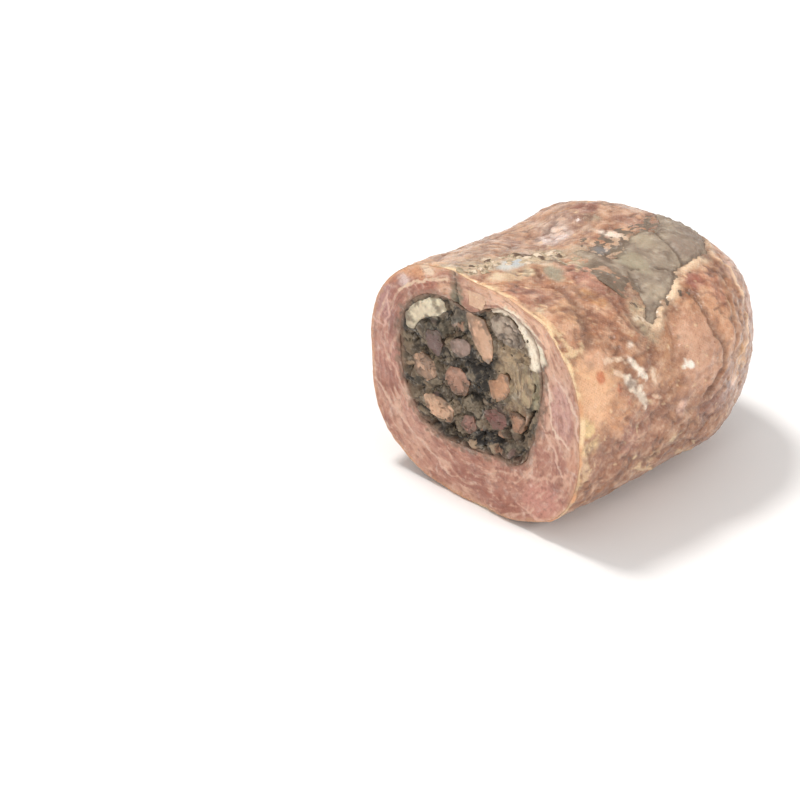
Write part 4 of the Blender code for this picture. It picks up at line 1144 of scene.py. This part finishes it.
def paint_stuffing(at):
    paint = Paint(at.x.shape, (92, 79, 62))
    paint.where((52, 46, 37), 1.0, 0.0, 0.5, at.tone)
    paint.where((122, 108, 88), 1.0, 0.0, 0.6, -at.tone)
    paint.where((46, 40, 32), 0.8, 0.60, 0.66, at.chunk_chance)
    paint.lay((126, 106, 84), 0.7 * fall(0.2, 0.26, at.chunk_chance))
    paint.where((104, 82, 74), 0.8 * fall(0.48, 0.52, at.chunk_chance), 0.36, 0.40, at.chunk_chance)
    paint.spots(at.warp_x, at.warp_z, STUFFING_ZONES)
    strands = rough(at.warp_x * 1.7, 3.0, at.warp_z * 0.35 + at.warp_x * 0.3, 1.6, 14.0)
    olive = 1 - at.away_from_olive
    paint.where((134, 114, 84), 0.65 * olive, 0.0, 0.5, strands)
    paint.where((192, 170, 134), 0.6 * olive, 0.0, 0.5, -strands)
    paint.where((150, 134, 112), 0.6, 0.1, 0.6, at.cloudy)
    paint.where((38, 33, 27), 0.55, 0.1, 0.6, -at.cloudy)
    paint.where((148, 126, 100), 0.45, 0.70, 0.80, at.bit_chance)
    for low, high, colour in BIT_COLOURS:
        paint.where(colour, 0.7 * fall(high, high + 0.01, at.bit_chance), low, low + 0.01, at.bit_chance)
    paint.where((166, 150, 126), 0.45, 0.2, 0.7, at.fine)
    # Painted shade in the cracks between the chunks and between the bits.
    paint.lay((28, 23, 19), 0.9 * fall(0.0, 0.14, at.chunk) * (0.15 + 0.85 * at.away_from_olive))
    paint.lay((34, 28, 22), 0.35 * fall(0.0, 0.14, at.bit) * (0.2 + 0.8 * at.away_from_olive))
    paint.lay((255, 240, 216), at.crescent)
    paint.where((222, 196, 166), 0.4 * at.crescent, 0.0, 0.6, at.fine)
    # Painted shade deep in the crack.
    paint.lay(CRACK_SHADE, at.crack)
    # Painted shadow in the gaps beside the pieces.
    paint.lay((30, 25, 20), 0.8 * at.gap)
    return paint


def make_stuffing():
    """The stuffing's core, with its crumbly cut face."""
    turn = turns(STUFFING_SEGMENTS)
    edge = core_edge(turn, np.zeros(turn.shape))
    share = np.concatenate([[0.0], np.linspace(0.012, 1.0, 92)])[:, None]
    radius, angle = np.broadcast_arrays(share * edge, turn)
    front = section_points(radius, angle, np.zeros(radius.shape))
    x, z = front[..., 0], front[..., 2]
    at = stuffing_marks(x, z)
    meat_like = fall(0.0, 1.6, (1 - share) * edge + 1.1 * lumps(x, 3.0, z, 2.5, 16.0))
    forward = stuffing_relief(at)
    forward = forward + (0.5 - forward) * meat_like * (1 - parted_joint(x, z))
    front[..., 1] += STUFFING_SET_BACK - forward
    paint = paint_stuffing(at)
    paint.lay((136, 104, 84), 0.7 * meat_like)
    side = core_rings(turn, STUFFING_SIDE)
    colours = np.concatenate([paint.colours, np.broadcast_to(linear(70, 60, 47), side.shape)])
    return ball_mesh("stuffing_core", np.concatenate([front, side]), colours)


def bed_places():
    """Where the bed's points lie: flattened rings, from the cut to the far end of the opening."""
    along = np.concatenate([[0.4], np.linspace(0.7, 98.4, 180), [98.6]])
    left, right = from_stations(BED_EDGES, along)
    ends = np.sqrt(np.clip(1 - ((along - BED_MIDDLE) / (BED_LENGTH / 2)) ** 40, 0.0, 1.0))
    angle = turns(BED_SEGMENTS)
    across = np.sign(np.cos(angle)) * np.abs(np.cos(angle)) ** 0.7
    upward = np.sign(np.sin(angle)) * np.abs(np.sin(angle)) ** 0.35
    lean = ((right + left) / 2)[:, None] + ((right - left) / 2 * ends)[:, None] * across
    at = SimpleNamespace(turn=np.radians(90 - lean), along=np.broadcast_to(along[:, None], lean.shape))
    at.flat = lean * MM_PER_DEGREE
    at.top = np.clip(upward, 0.0, 1.0) * np.ones(lean.shape)
    return at


def add_bed_marks(at):
    """Adds the noise and the masks that the bed's relief and its paint share."""
    flat, along = at.flat, at.along
    at.seam_part = fall(38.0, 46.0, along) * fall(10.0, 16.0, flat)
    at.fine = rough(flat, along, 0.0, 2.0, 3.0)
    at.wide_lumps = rough(flat, along, 0.0, 9.0, 6.0)
    at.lines = rough(flat + 0.8 * along, 0.16 * (along - flat), 0.0, 1.5, 9.0, 2)
    at.bits, at.bit_chance, at.bit_facet = cells(flat + 0.8 * at.fine, along, np.zeros(flat.shape), 2.4, 2.0)
    at.torn_up = rough(flat, along, 4.0, 4.0, 33.0, 4)
    at.torn = opening_distance(flat, along)
    at.notches = np.zeros(flat.shape)
    for path in PATCH_NOTCHES:
        away = distance_to_path(flat + 0.8 * at.fine, along + 0.5 * at.fine, path_in_millimetres(path))
        at.notches = np.maximum(at.notches, fall(0.1, 1.1, away))


def bed_relief(at):
    """How far the bed's top stands up: bits in the seam, and a soft torn surface in the torn place."""
    bits = 0.3 * at.fine + 0.4 * (at.bit_chance - 0.5) + 0.25 * ramp(0.0, 0.5, at.bits) + 0.3 * at.bit_facet
    torn = 0.3 * at.fine + 0.4 * at.wide_lumps + 0.15 * at.lines + 0.5 * at.torn_up
    edge = 0.5 * ramp(-1.8, -0.6, at.torn)
    return at.seam_part * bits + (1 - at.seam_part) * (torn - edge) - 0.6 * at.notches


def paint_bed(at):
    seam_part, torn_part = at.seam_part, 1 - at.seam_part
    paint = Paint(at.flat.shape, WARM_GREY)
    paint.where((132, 115, 99), 0.7, -0.1, 0.6, at.wide_lumps)
    paint.where((164, 148, 128), 0.6, 0.0, 0.7, -at.wide_lumps)
    paint.where((118, 100, 84), 0.6, 0.1, 0.6, at.lines)
    paint.where((112, 94, 80), 0.7, 0.05, 0.5, at.torn_up)
    paint.where((188, 172, 152), 0.5, 0.15, 0.6, -at.torn_up)
    paint.where((196, 178, 156), 0.5, 0.3, 0.8, at.fine)
    paint.spots(at.flat + at.fine, at.along + at.fine, in_millimetres(PATCH_SPOTS))
    # Painted shade in the notches.
    paint.lay((88, 70, 56), 0.7 * at.notches)
    paint.lay((196, 174, 146), seam_part)
    paint.where((168, 152, 126), seam_part, 0.35, 0.4, at.bit_chance)
    paint.where((224, 204, 180), seam_part, 0.6, 0.64, at.bit_chance)
    paint.where((136, 120, 96), 0.8 * seam_part, 0.1, 0.6, at.fine)
    paint.where((98, 76, 58), seam_part, 0.86, 0.9, at.bit_chance)
    # Painted shade between the bits in the seam.
    paint.lay((96, 76, 60), 0.6 * seam_part * fall(0.0, 0.15, at.bits))
    # Painted shade along the torn edge, where the skin overhangs the filling.
    paint.where((96, 78, 62), 0.6 * torn_part, -1.3, -0.2, at.torn)
    return paint


def make_torn_filling():
    """What shows in the seam and in the torn place, as a thin bed that reaches under the skin's edge."""
    at = bed_places()
    add_bed_marks(at)
    under_skin = opening_dip(at.along) * (0.62 - 0.5 * at.top) + 0.35 * (1 - at.top) + 0.5 * at.seam_part
    points = skin_form(at.turn, at.along, under_skin - bed_relief(at) * at.top)
    return ball_mesh("torn_filling", points, paint_bed(at).colours)


def piece_stations(depth):
    """(share of the outline, inset, back) from the middle of a piece's front to the middle of its back."""
    front = [(share, 0.12, 0.0) for share in (0.0, *np.linspace(0.05, 0.985, 24))]
    edge = [(1.0, 0.1, 0.0), (1.0, 0.04, 0.05), (1.0, 0.0, 0.15), (1.0, 0.0, 0.5), (1.0, 0.0, 1.2)]
    side = [(1.0, 0.0, back) for back in np.linspace(2.5, depth - 0.5, 6)]
    return np.array(front + edge + side + [(0.9, 0.0, depth), (0.0, 0.0, depth)])


def curled(paint, at):
    """Paints a mushroom's curled layers and returns their relief."""
    curl = np.abs(rough(at.x, 3.0, at.z, 5.5, at.seed + 9.5))
    shade = rough(at.x, 13.0, at.z, 3.0, at.seed + 2.5)
    paint.where(at.dark, 0.75 * fall(0.0, 0.22, curl), -0.5, 0.3, shade)
    paint.where((196, 178, 158), 0.75, 0.25, 0.6, curl + 0.4 * shade)
    return 0.15 * shade - 0.5 * fall(0.0, 0.2, curl)


def stringy(paint, at):
    """Paints long strands and returns their relief."""
    strands = rough(at.x * 1.8, 3.0, at.z * 0.3 + at.x * 0.3, 1.5, at.seed + 4.5)
    paint.where(at.dark, 0.6, 0.0, 0.5, strands)
    paint.where((184, 168, 132), 0.65, 0.0, 0.5, -strands)
    return 0.3 * strands


def torn_apart(paint, at):
    """Paints lumps that part from each other a little, with painted shade in the partings, and returns their
    relief.
    """
    warp_x = at.x + 1.6 * at.fine + 2.0 * at.coarse
    warp_z = at.z + 1.8 * lumps(at.x, 7.0, at.z, 2.4, at.seed)
    inside, chance, facet = cells(warp_x, np.zeros(at.x.shape), warp_z, 4.2, at.seed)
    paint.where(at.dark, 0.4, 0.55, 0.75, chance)
    paint.lay(at.light, 0.4 * fall(0.2, 0.4, chance))
    parted = fall(0.0, 0.12, inside) * ramp(0.0, 0.3, at.coarse)
    # Painted shade where the lumps part.
    paint.lay((84, 64, 50), 0.5 * parted)
    return 0.15 * facet - 0.3 * parted


SURFACES = {"curled": curled, "stringy": stringy, "torn": torn_apart, "plain": lambda paint, at: 0.0}


def make_piece(name):
    """A cut piece with its own grain, tapering back into the stuffing or the meat."""
    _, corners, depth, proud, main, second, kind = PIECES[name]
    in_the_meat = name == PIECE_IN_THE_MEAT
    middle = np.mean(np.array(corners), axis=0)
    share, inset, back = (column[:, None] for column in piece_stations(depth + proud).T)
    reach = np.array(smooth_outline(corners)) - middle
    length = np.hypot(reach[:, 0], reach[:, 1])
    scale = share * (1 - inset / length) * (1 - (1 - PIECE_TAPER) * back / (depth + proud))
    x, z = middle[0] + reach[:, 0] * scale, middle[1] + reach[:, 1] * scale

    at = SimpleNamespace(x=x, z=z, seed=sum(map(ord, name)) % 97)
    at.coarse = rough(x, 3.0, z, 6.0, at.seed + 0.5)
    at.fine = rough(x, 3.0, z, 1.9, at.seed + 3.5)
    at.light = tuple(min(250, value * 1.16) for value in main)
    at.dark = tuple(value * 0.6 for value in second)
    paint = Paint(x.shape, main)
    paint.where(second, 0.6, -0.1, 0.6, at.coarse)
    paint.where(second, 0.35, 0.1, 0.7, at.fine)
    paint.where(at.light, 0.5, 0.1, 0.7, -at.fine)
    forward = 0.22 * at.coarse + 0.1 * at.fine + SURFACES[kind](paint, at)
    if not in_the_meat:
        smeared = ramp(0.5, 1.0, share + 0.45 * at.fine + 0.35 * at.coarse)
        smeared = smeared * (0.45 + 0.55 * ramp(-0.4, 0.3, lumps(x, 12.0, z, 3.5, 21.0)))
        paint.lay((92, 76, 60), 0.7 * smeared)

    front = fall(0.0, 1.2, back) * np.ones(x.shape)
    tilt_x, tilt_z = (0.05 * lumps(at.seed + 0.3 * step, 0.5, 0.5, 1.0) for step in (1, 2))
    tilt = (tilt_x * (x - middle[0]) + tilt_z * (z - middle[1])) * front
    level = 0.15 + cut_wave(*middle[:, None])[0] if in_the_meat else 0.7 * proud
    along = back + tilt - proud + level - forward * front
    return ball_mesh(name + "_cooked", np.stack([x, along, z], -1), paint.colours)


def add_node(tree, kind, settings, inputs):
    """Adds a node to a tree. Inputs are given by their name or number, as values or as sockets to link."""
    node = tree.nodes.new(kind)
    for name, value in settings.items():
        if name == "stops":
            for stop, (place, colour) in zip(node.color_ramp.elements, value):
                stop.position = place
                stop.color = (*linear(*colour), 1.0)
        else:
            setattr(node, name, value)
    for name, value in inputs.items():
        if isinstance(name, int):
            socket = node.inputs[name]
        else:
            socket = next(one for one in node.inputs if one.enabled and one.name == name)
        if isinstance(value, bpy.types.NodeSocket):
            tree.links.new(value, socket)
        else:
            socket.default_value = value
    return node


class Signal:
    """One output in a shader, with arithmetic that adds the nodes for it."""

    def __init__(self, shader, socket):
        self.shader = shader
        self.socket = socket

    def maths(self, operation, first, second):
        return self.shader.node("ShaderNodeMath", {"operation": operation}, {0: first, 1: second})

    def __add__(self, other):
        return self.maths("ADD", self, other)

    def __radd__(self, other):
        return self.maths("ADD", other, self)

    def __sub__(self, other):
        return self.maths("SUBTRACT", self, other)

    def __rsub__(self, other):
        return self.maths("SUBTRACT", other, self)

    def __mul__(self, other):
        return self.maths("MULTIPLY", self, other)

    def __rmul__(self, other):
        return self.maths("MULTIPLY", other, self)

    def between(self, low, high):
        """0 below low, 1 above high, and a smooth rise between them."""
        inputs = {"Value": self, "From Min": low, "From Max": high}
        return self.shader.node("ShaderNodeMapRange", {"interpolation_type": "SMOOTHSTEP"}, inputs)

    def sine(self):
        return self.maths("SINE", self, 0.0)


def plain_socket(value):
    """The socket of a signal, or the value itself."""
    return value.socket if isinstance(value, Signal) else value


class Shader:
    """A material and its nodes."""

    def __init__(self, name):
        self.material = bpy.data.materials.new(name)
        self.material.use_nodes = True
        self.tree = self.material.node_tree
        self.surface = self.tree.nodes["Principled BSDF"]

    def node(self, kind, settings, inputs, output=0):
        """Adds a node and returns one of its outputs, by its name or its number among those in use."""
        plain = {name: plain_socket(value) for name, value in inputs.items()}
        node = add_node(self.tree, kind, settings, plain)
        if isinstance(output, str):
            return Signal(self, node.outputs[output])
        return Signal(self, [one for one in node.outputs if one.enabled][output])

    def object_place(self):
        return self.node("ShaderNodeTexCoord", {}, {}, "Object")

    def skin_place(self):
        return self.node("ShaderNodeUVMap", {"uv_map": "skin_map"}, {})

    def tint(self):
        return self.node("ShaderNodeAttribute", {"attribute_name": "tint"}, {}, "Color")

    def grain(self, place, size, detail=3.0, roughness=0.6, distortion=0.0):
        """Noise from 0 to 1 with grains of a size in millimetres."""
        inputs = {"Vector": place, "Scale": 1 / (size * MM), "Detail": detail, "Roughness": roughness}
        return self.node("ShaderNodeTexNoise", {}, {**inputs, "Distortion": distortion})

    def mix(self, share, first, second, blend):
        settings = {"data_type": "RGBA", "blend_type": blend, "clamp_factor": True}
        return self.node("ShaderNodeMix", settings, {"Factor": share, "A": first, "B": second})

    def bump(self, height, strength):
        """A normal from a height in millimetres."""
        inputs = {"Height": height, "Strength": strength, "Distance": MM}
        return self.node("ShaderNodeBump", {}, inputs, "Normal")

    def finish(self, colour, roughness, normal, coat, subsurface):
        """Joins what varies to the surface, and sets what is the same all over."""
        varying = {"Base Color": colour, "Roughness": roughness, "Normal": normal, "Coat Weight": coat}
        for name, signal in varying.items():
            self.tree.links.new(signal.socket, self.surface.inputs[name])
        self.surface.inputs["Coat Roughness"].default_value = COAT_ROUGHNESS
        self.surface.inputs["Coat IOR"].default_value = COAT_IOR
        self.surface.inputs["Subsurface Weight"].default_value = subsurface
        self.surface.inputs["Subsurface Radius"].default_value = LIGHT_REACH
        self.surface.inputs["Subsurface Scale"].default_value = LIGHT_REACH_MM * MM
        self.surface.inputs["IOR"].default_value = FLESH_IOR
        return self.material


def skin_material():
    """Wet cooked skin: its own mottled colour, pores, and the fine imprint of a cloth."""
    shader = Shader("cooked_skin")
    place = shader.object_place()
    pores = shader.grain(place, 0.55, 2.0, 0.6)
    fine = shader.grain(place, 1.3, 5.0, 0.7)
    coarse = shader.grain(place, 3.6, 4.0, 0.65, 0.4)
    laid = shader.node("ShaderNodeSeparateXYZ", {}, {"Vector": shader.skin_place()})
    round_it, along_it = (Signal(shader, laid.socket.node.outputs[axis]) for axis in ("X", "Y"))
    sway = (coarse - 0.5) * 2.6
    weave = (round_it * 560.0 + sway).sine() * (along_it * 500.0 + sway).sine()
    pressed = coarse.between(0.35, 0.6)
    height = weave * 0.04 * pressed + pores * 0.06 + fine * 0.24 + coarse * 0.3
    colour = shader.mix(fine.between(0.48, 0.74) * 0.42, shader.tint(), (0.56, 0.42, 0.35, 1.0), "MULTIPLY")
    colour = shader.mix((1.0 - fine).between(0.52, 0.74) * 0.16, colour, (0.95, 0.82, 0.70, 1.0), "SCREEN")
    colour = shader.mix(pores.between(0.55, 0.75) * 0.35, colour, (0.5, 0.36, 0.28, 1.0), "MULTIPLY")
    colour = shader.mix(weave.between(0.1, 0.9) * pressed * 0.22, colour, (0.5, 0.38, 0.32, 1.0), "MULTIPLY")
    coat = coarse.between(0.3, 0.6) * 0.75 + 0.15
    return shader.finish(colour, 0.34 + fine * 0.2, shader.bump(height, 1.0), coat, 0.10)


def crumb_shade(shader, place):
    """A shade that changes from crumb to crumb."""
    lump = shader.node("ShaderNodeTexNoise", {}, {"Vector": place, "Scale": 420.0})
    return shader.node("ShaderNodeValToRGB", {"stops": ((0.0, CRUMB_DARK), (1.0, CRUMB_LIGHT))}, {0: lump})


def cut_material(name, size, contrast, roughness, coat, subsurface, bump):
    """Something cooked and cut: its own colour with finer grains of shade and height."""
    shader = Shader(name)
    place = shader.object_place()
    fine = shader.grain(place, size, 4.0, 0.65)
    coarse = shader.grain(place, 3.4 * size, 3.0, 0.6, 0.5)
    base = crumb_shade(shader, place) if name == "stuffing_crumb" else shader.tint()
    colour = shader.mix(fine.between(0.48, 0.75) * contrast, base, (0.45, 0.36, 0.30, 1.0), "MULTIPLY")
    light = coarse.between(0.55, 0.8) * contrast * 0.5
    colour = shader.mix(light, colour, (0.9, 0.84, 0.74, 1.0), "SCREEN")
    height = fine * 0.22 * bump + coarse * 0.3 * bump
    gloss = coarse.between(0.4, 0.65) * coat + 0.04
    return shader.finish(colour, roughness + fine * 0.2, shader.bump(height, 0.9), gloss, subsurface)


def plain_material(name, colour, roughness):
    shader = Shader(name)
    shader.surface.inputs["Base Color"].default_value = (*linear(*colour), 1.0)
    shader.surface.inputs["Roughness"].default_value = roughness
    return shader.material


def crumb_tree():
    """Scatters lumpy bits over a surface, as real geometry with one material."""
    tree = bpy.data.node_groups.new("scattered_bits", "GeometryNodeTree")
    inputs = {}
    for name, kind in CRUMB_INPUTS.items():
        socket = tree.interface.new_socket(name, in_out="INPUT", socket_type="NodeSocket" + kind)
        inputs[name] = socket.identifier
    tree.interface.new_socket("Bits", in_out="OUTPUT", socket_type="NodeSocketGeometry")
    given = tree.nodes.new("NodeGroupInput").outputs
    seed = given["Seed"]

    def add(kind, settings, links, output=0):
        node = add_node(tree, kind, settings, links)
        return [one for one in node.outputs if one.enabled][output]

    def scaled(vector, factor):
        return add("ShaderNodeVectorMath", {"operation": "SCALE"}, {"Vector": vector, "Scale": factor})

    def chance(kind, low, high):
        return add("FunctionNodeRandomValue", {"data_type": kind}, {"Min": low, "Max": high, "Seed": seed})

    where = add("GeometryNodeInputNamedAttribute", {"data_type": "FLOAT"}, {"Name": "crumbly"})
    density = add("ShaderNodeMath", {"operation": "MULTIPLY"}, {0: where, 1: given["Density"]})
    spots = add_node(tree, "GeometryNodeDistributePointsOnFaces", {}, {
        "Mesh": given["Surface"], "Density": density, "Seed": seed})
    depth = scaled(spots.outputs["Normal"], given["Sunk"])
    points = add("GeometryNodeSetPosition", {}, {"Geometry": spots.outputs["Points"], "Offset": depth})

    ball = add("GeometryNodeMeshIcoSphere", {}, {"Radius": 0.5, "Subdivisions": 2})
    place = add("GeometryNodeInputPosition", {}, {})
    bumps = add("ShaderNodeTexNoise", {}, {"Vector": place, "Scale": 2.6, "Detail": 2.0}, 1)
    centred = add("ShaderNodeVectorMath", {"operation": "SUBTRACT"}, {0: bumps, 1: (0.5, 0.5, 0.5)})
    lumpy = add("GeometryNodeSetPosition", {}, {"Geometry": ball, "Offset": scaled(centred, 0.75)})

    turn = chance("FLOAT_VECTOR", (0.0, 0.0, 0.0), (6.28, 6.28, 6.28))
    size = chance("FLOAT", given["Smallest"], given["Largest"])
    stretch = chance("FLOAT_VECTOR", (0.6, 0.45, 0.35), (1.5, 1.0, 0.8))
    spread = add("GeometryNodeInstanceOnPoints", {}, {
        "Points": points, "Instance": lumpy, "Rotation": turn, "Scale": scaled(stretch, size)})
    real = add("GeometryNodeRealizeInstances", {}, {"Geometry": spread})
    smooth = add("GeometryNodeSetShadeSmooth", {}, {"Geometry": real})
    painted = add("GeometryNodeSetMaterial", {}, {"Geometry": smooth, "Material": given["Material"]})
    add_node(tree, "NodeGroupOutput", {}, {0: painted})
    return tree, inputs


def crumb_surface():
    """The stuffing's face as a coarse sheet, with how crumbly each point is."""
    turn = np.linspace(0.0, 2 * math.pi, 97)[None, :]
    share = np.linspace(0.03, 0.95, 40)[:, None]
    radius, angle = np.broadcast_arrays(share * core_edge(turn, np.zeros(turn.shape)), turn)
    points = section_points(radius, angle, np.zeros(radius.shape))
    x, z = points[..., 0], points[..., 2]
    at = stuffing_marks(x, z)
    points[..., 1] += STUFFING_SET_BACK - stuffing_relief(at)
    away_from_olive = ramp(0.8, 1.6, np.hypot((x - 21.0) / 8.0, (z - 53.0) / 12.0))
    crumbly = ramp(-0.7, 0.1, at.from_pieces) * (0.25 + 0.75 * away_from_olive)
    rows, columns = x.shape
    corner = (np.arange(rows - 1)[:, None] * columns + np.arange(columns - 1)[None, :]).ravel()
    quads = np.stack([corner, corner + columns, corner + columns + 1, corner + 1], -1)
    mesh = mesh_from_faces("crumb_surface", points, quads)
    add_numbers(mesh, "crumbly", crumbly)
    return mesh


def make_crumbs(material):
    """The crumbs, spread by the node tree over a sheet that is then removed."""
    tree, inputs = crumb_tree()
    values = {
        "Density": CRUMBS_PER_SQUARE_METRE, "Smallest": CRUMB_SMALLEST * MM, "Largest": CRUMB_LARGEST * MM,
        "Sunk": CRUMB_SUNK * MM, "Seed": SEED, "Material": material,
    }
    sheet = bpy.data.objects.new("crumb_sheet", crumb_surface())
    bpy.context.scene.collection.objects.link(sheet)
    spread = sheet.modifiers.new("scatter", "NODES")
    spread.node_group = tree
    for name, value in values.items():
        spread[inputs[name]] = value
    graph = bpy.context.evaluated_depsgraph_get()
    mesh = bpy.data.meshes.new_from_object(sheet.evaluated_get(graph))
    sheet.modifiers.remove(spread)
    bpy.data.objects.remove(sheet)
    mesh.name = "stuffing_crumbs"
    return mesh


def make_roll():
    finishes = {name: cut_material(name, *values) for name, values in FINISHES.items()}
    add_piece("roll_skin", make_skin(), skin_material(), "chicken_roll", "chicken_roll")
    add_piece("roll_meat", make_meat(), finishes["cut_meat"], "chicken_roll", "chicken_roll")
    add_piece("stuffing_core", make_stuffing(), finishes["dark_stuffing"], "stuffing", "stuffing")
    add_piece("torn_filling", make_torn_filling(), finishes["grey_filling"], "stuffing", "stuffing")
    for name, (slot, *_) in PIECES.items():
        finish = finishes["pale_fat" if slot == "fat" else slot]
        add_piece(name + "_cooked", make_piece(name), finish, slot, name)
    crumb = finishes["stuffing_crumb"]
    add_piece("stuffing_crumbs", make_crumbs(crumb), crumb, "stuffing", "stuffing")


def make_floor():
    half = 3.0
    mesh = bpy.data.meshes.new("floor")
    corners = [(-half, -half, 0), (half, -half, 0), (half, half, 0), (-half, half, 0)]
    mesh.from_pydata(corners, [], [(0, 1, 2, 3)])
    mesh.materials.append(plain_material("pale_floor", (243, 243, 243), 0.7))
    floor = bpy.data.objects.new("floor", mesh)
    floor.location.z = -0.05 * MM
    bpy.context.scene.collection.objects.link(floor)


def add_light(name, place, size, power, colour):
    """A round soft light that points at the roll."""
    light = bpy.data.lights.new(name, "AREA")
    light.shape = "DISK"
    light.size = size
    light.energy = power
    light.color = colour
    lamp = bpy.data.objects.new(name, light)
    lamp.location = place
    lamp.rotation_euler = (Vector(LIT_POINT) - Vector(place)).to_track_quat("-Z", "Y").to_euler()
    bpy.context.scene.collection.objects.link(lamp)


def make_studio():
    scene = bpy.context.scene
    world = bpy.data.worlds.new("studio")
    world.use_nodes = True
    background = world.node_tree.nodes["Background"]
    background.inputs["Color"].default_value = (1.0, 0.99, 0.98, 1.0)
    background.inputs["Strength"].default_value = SKY_STRENGTH
    scene.world = world
    for light in LIGHTS:
        add_light(*light)

    camera = bpy.data.objects.new("camera", bpy.data.cameras.new("camera"))
    camera.location = CAMERA_PLACE
    camera.rotation_euler = (math.radians(CAMERA_TURN[0]), 0.0, math.radians(CAMERA_TURN[1]))
    camera.data.lens = CAMERA_LENS
    camera.data.sensor_width = CAMERA_SENSOR
    scene.collection.objects.link(camera)
    scene.camera = camera
    scene.view_settings.view_transform = "Standard"


make_roll()
make_floor()
make_studio()
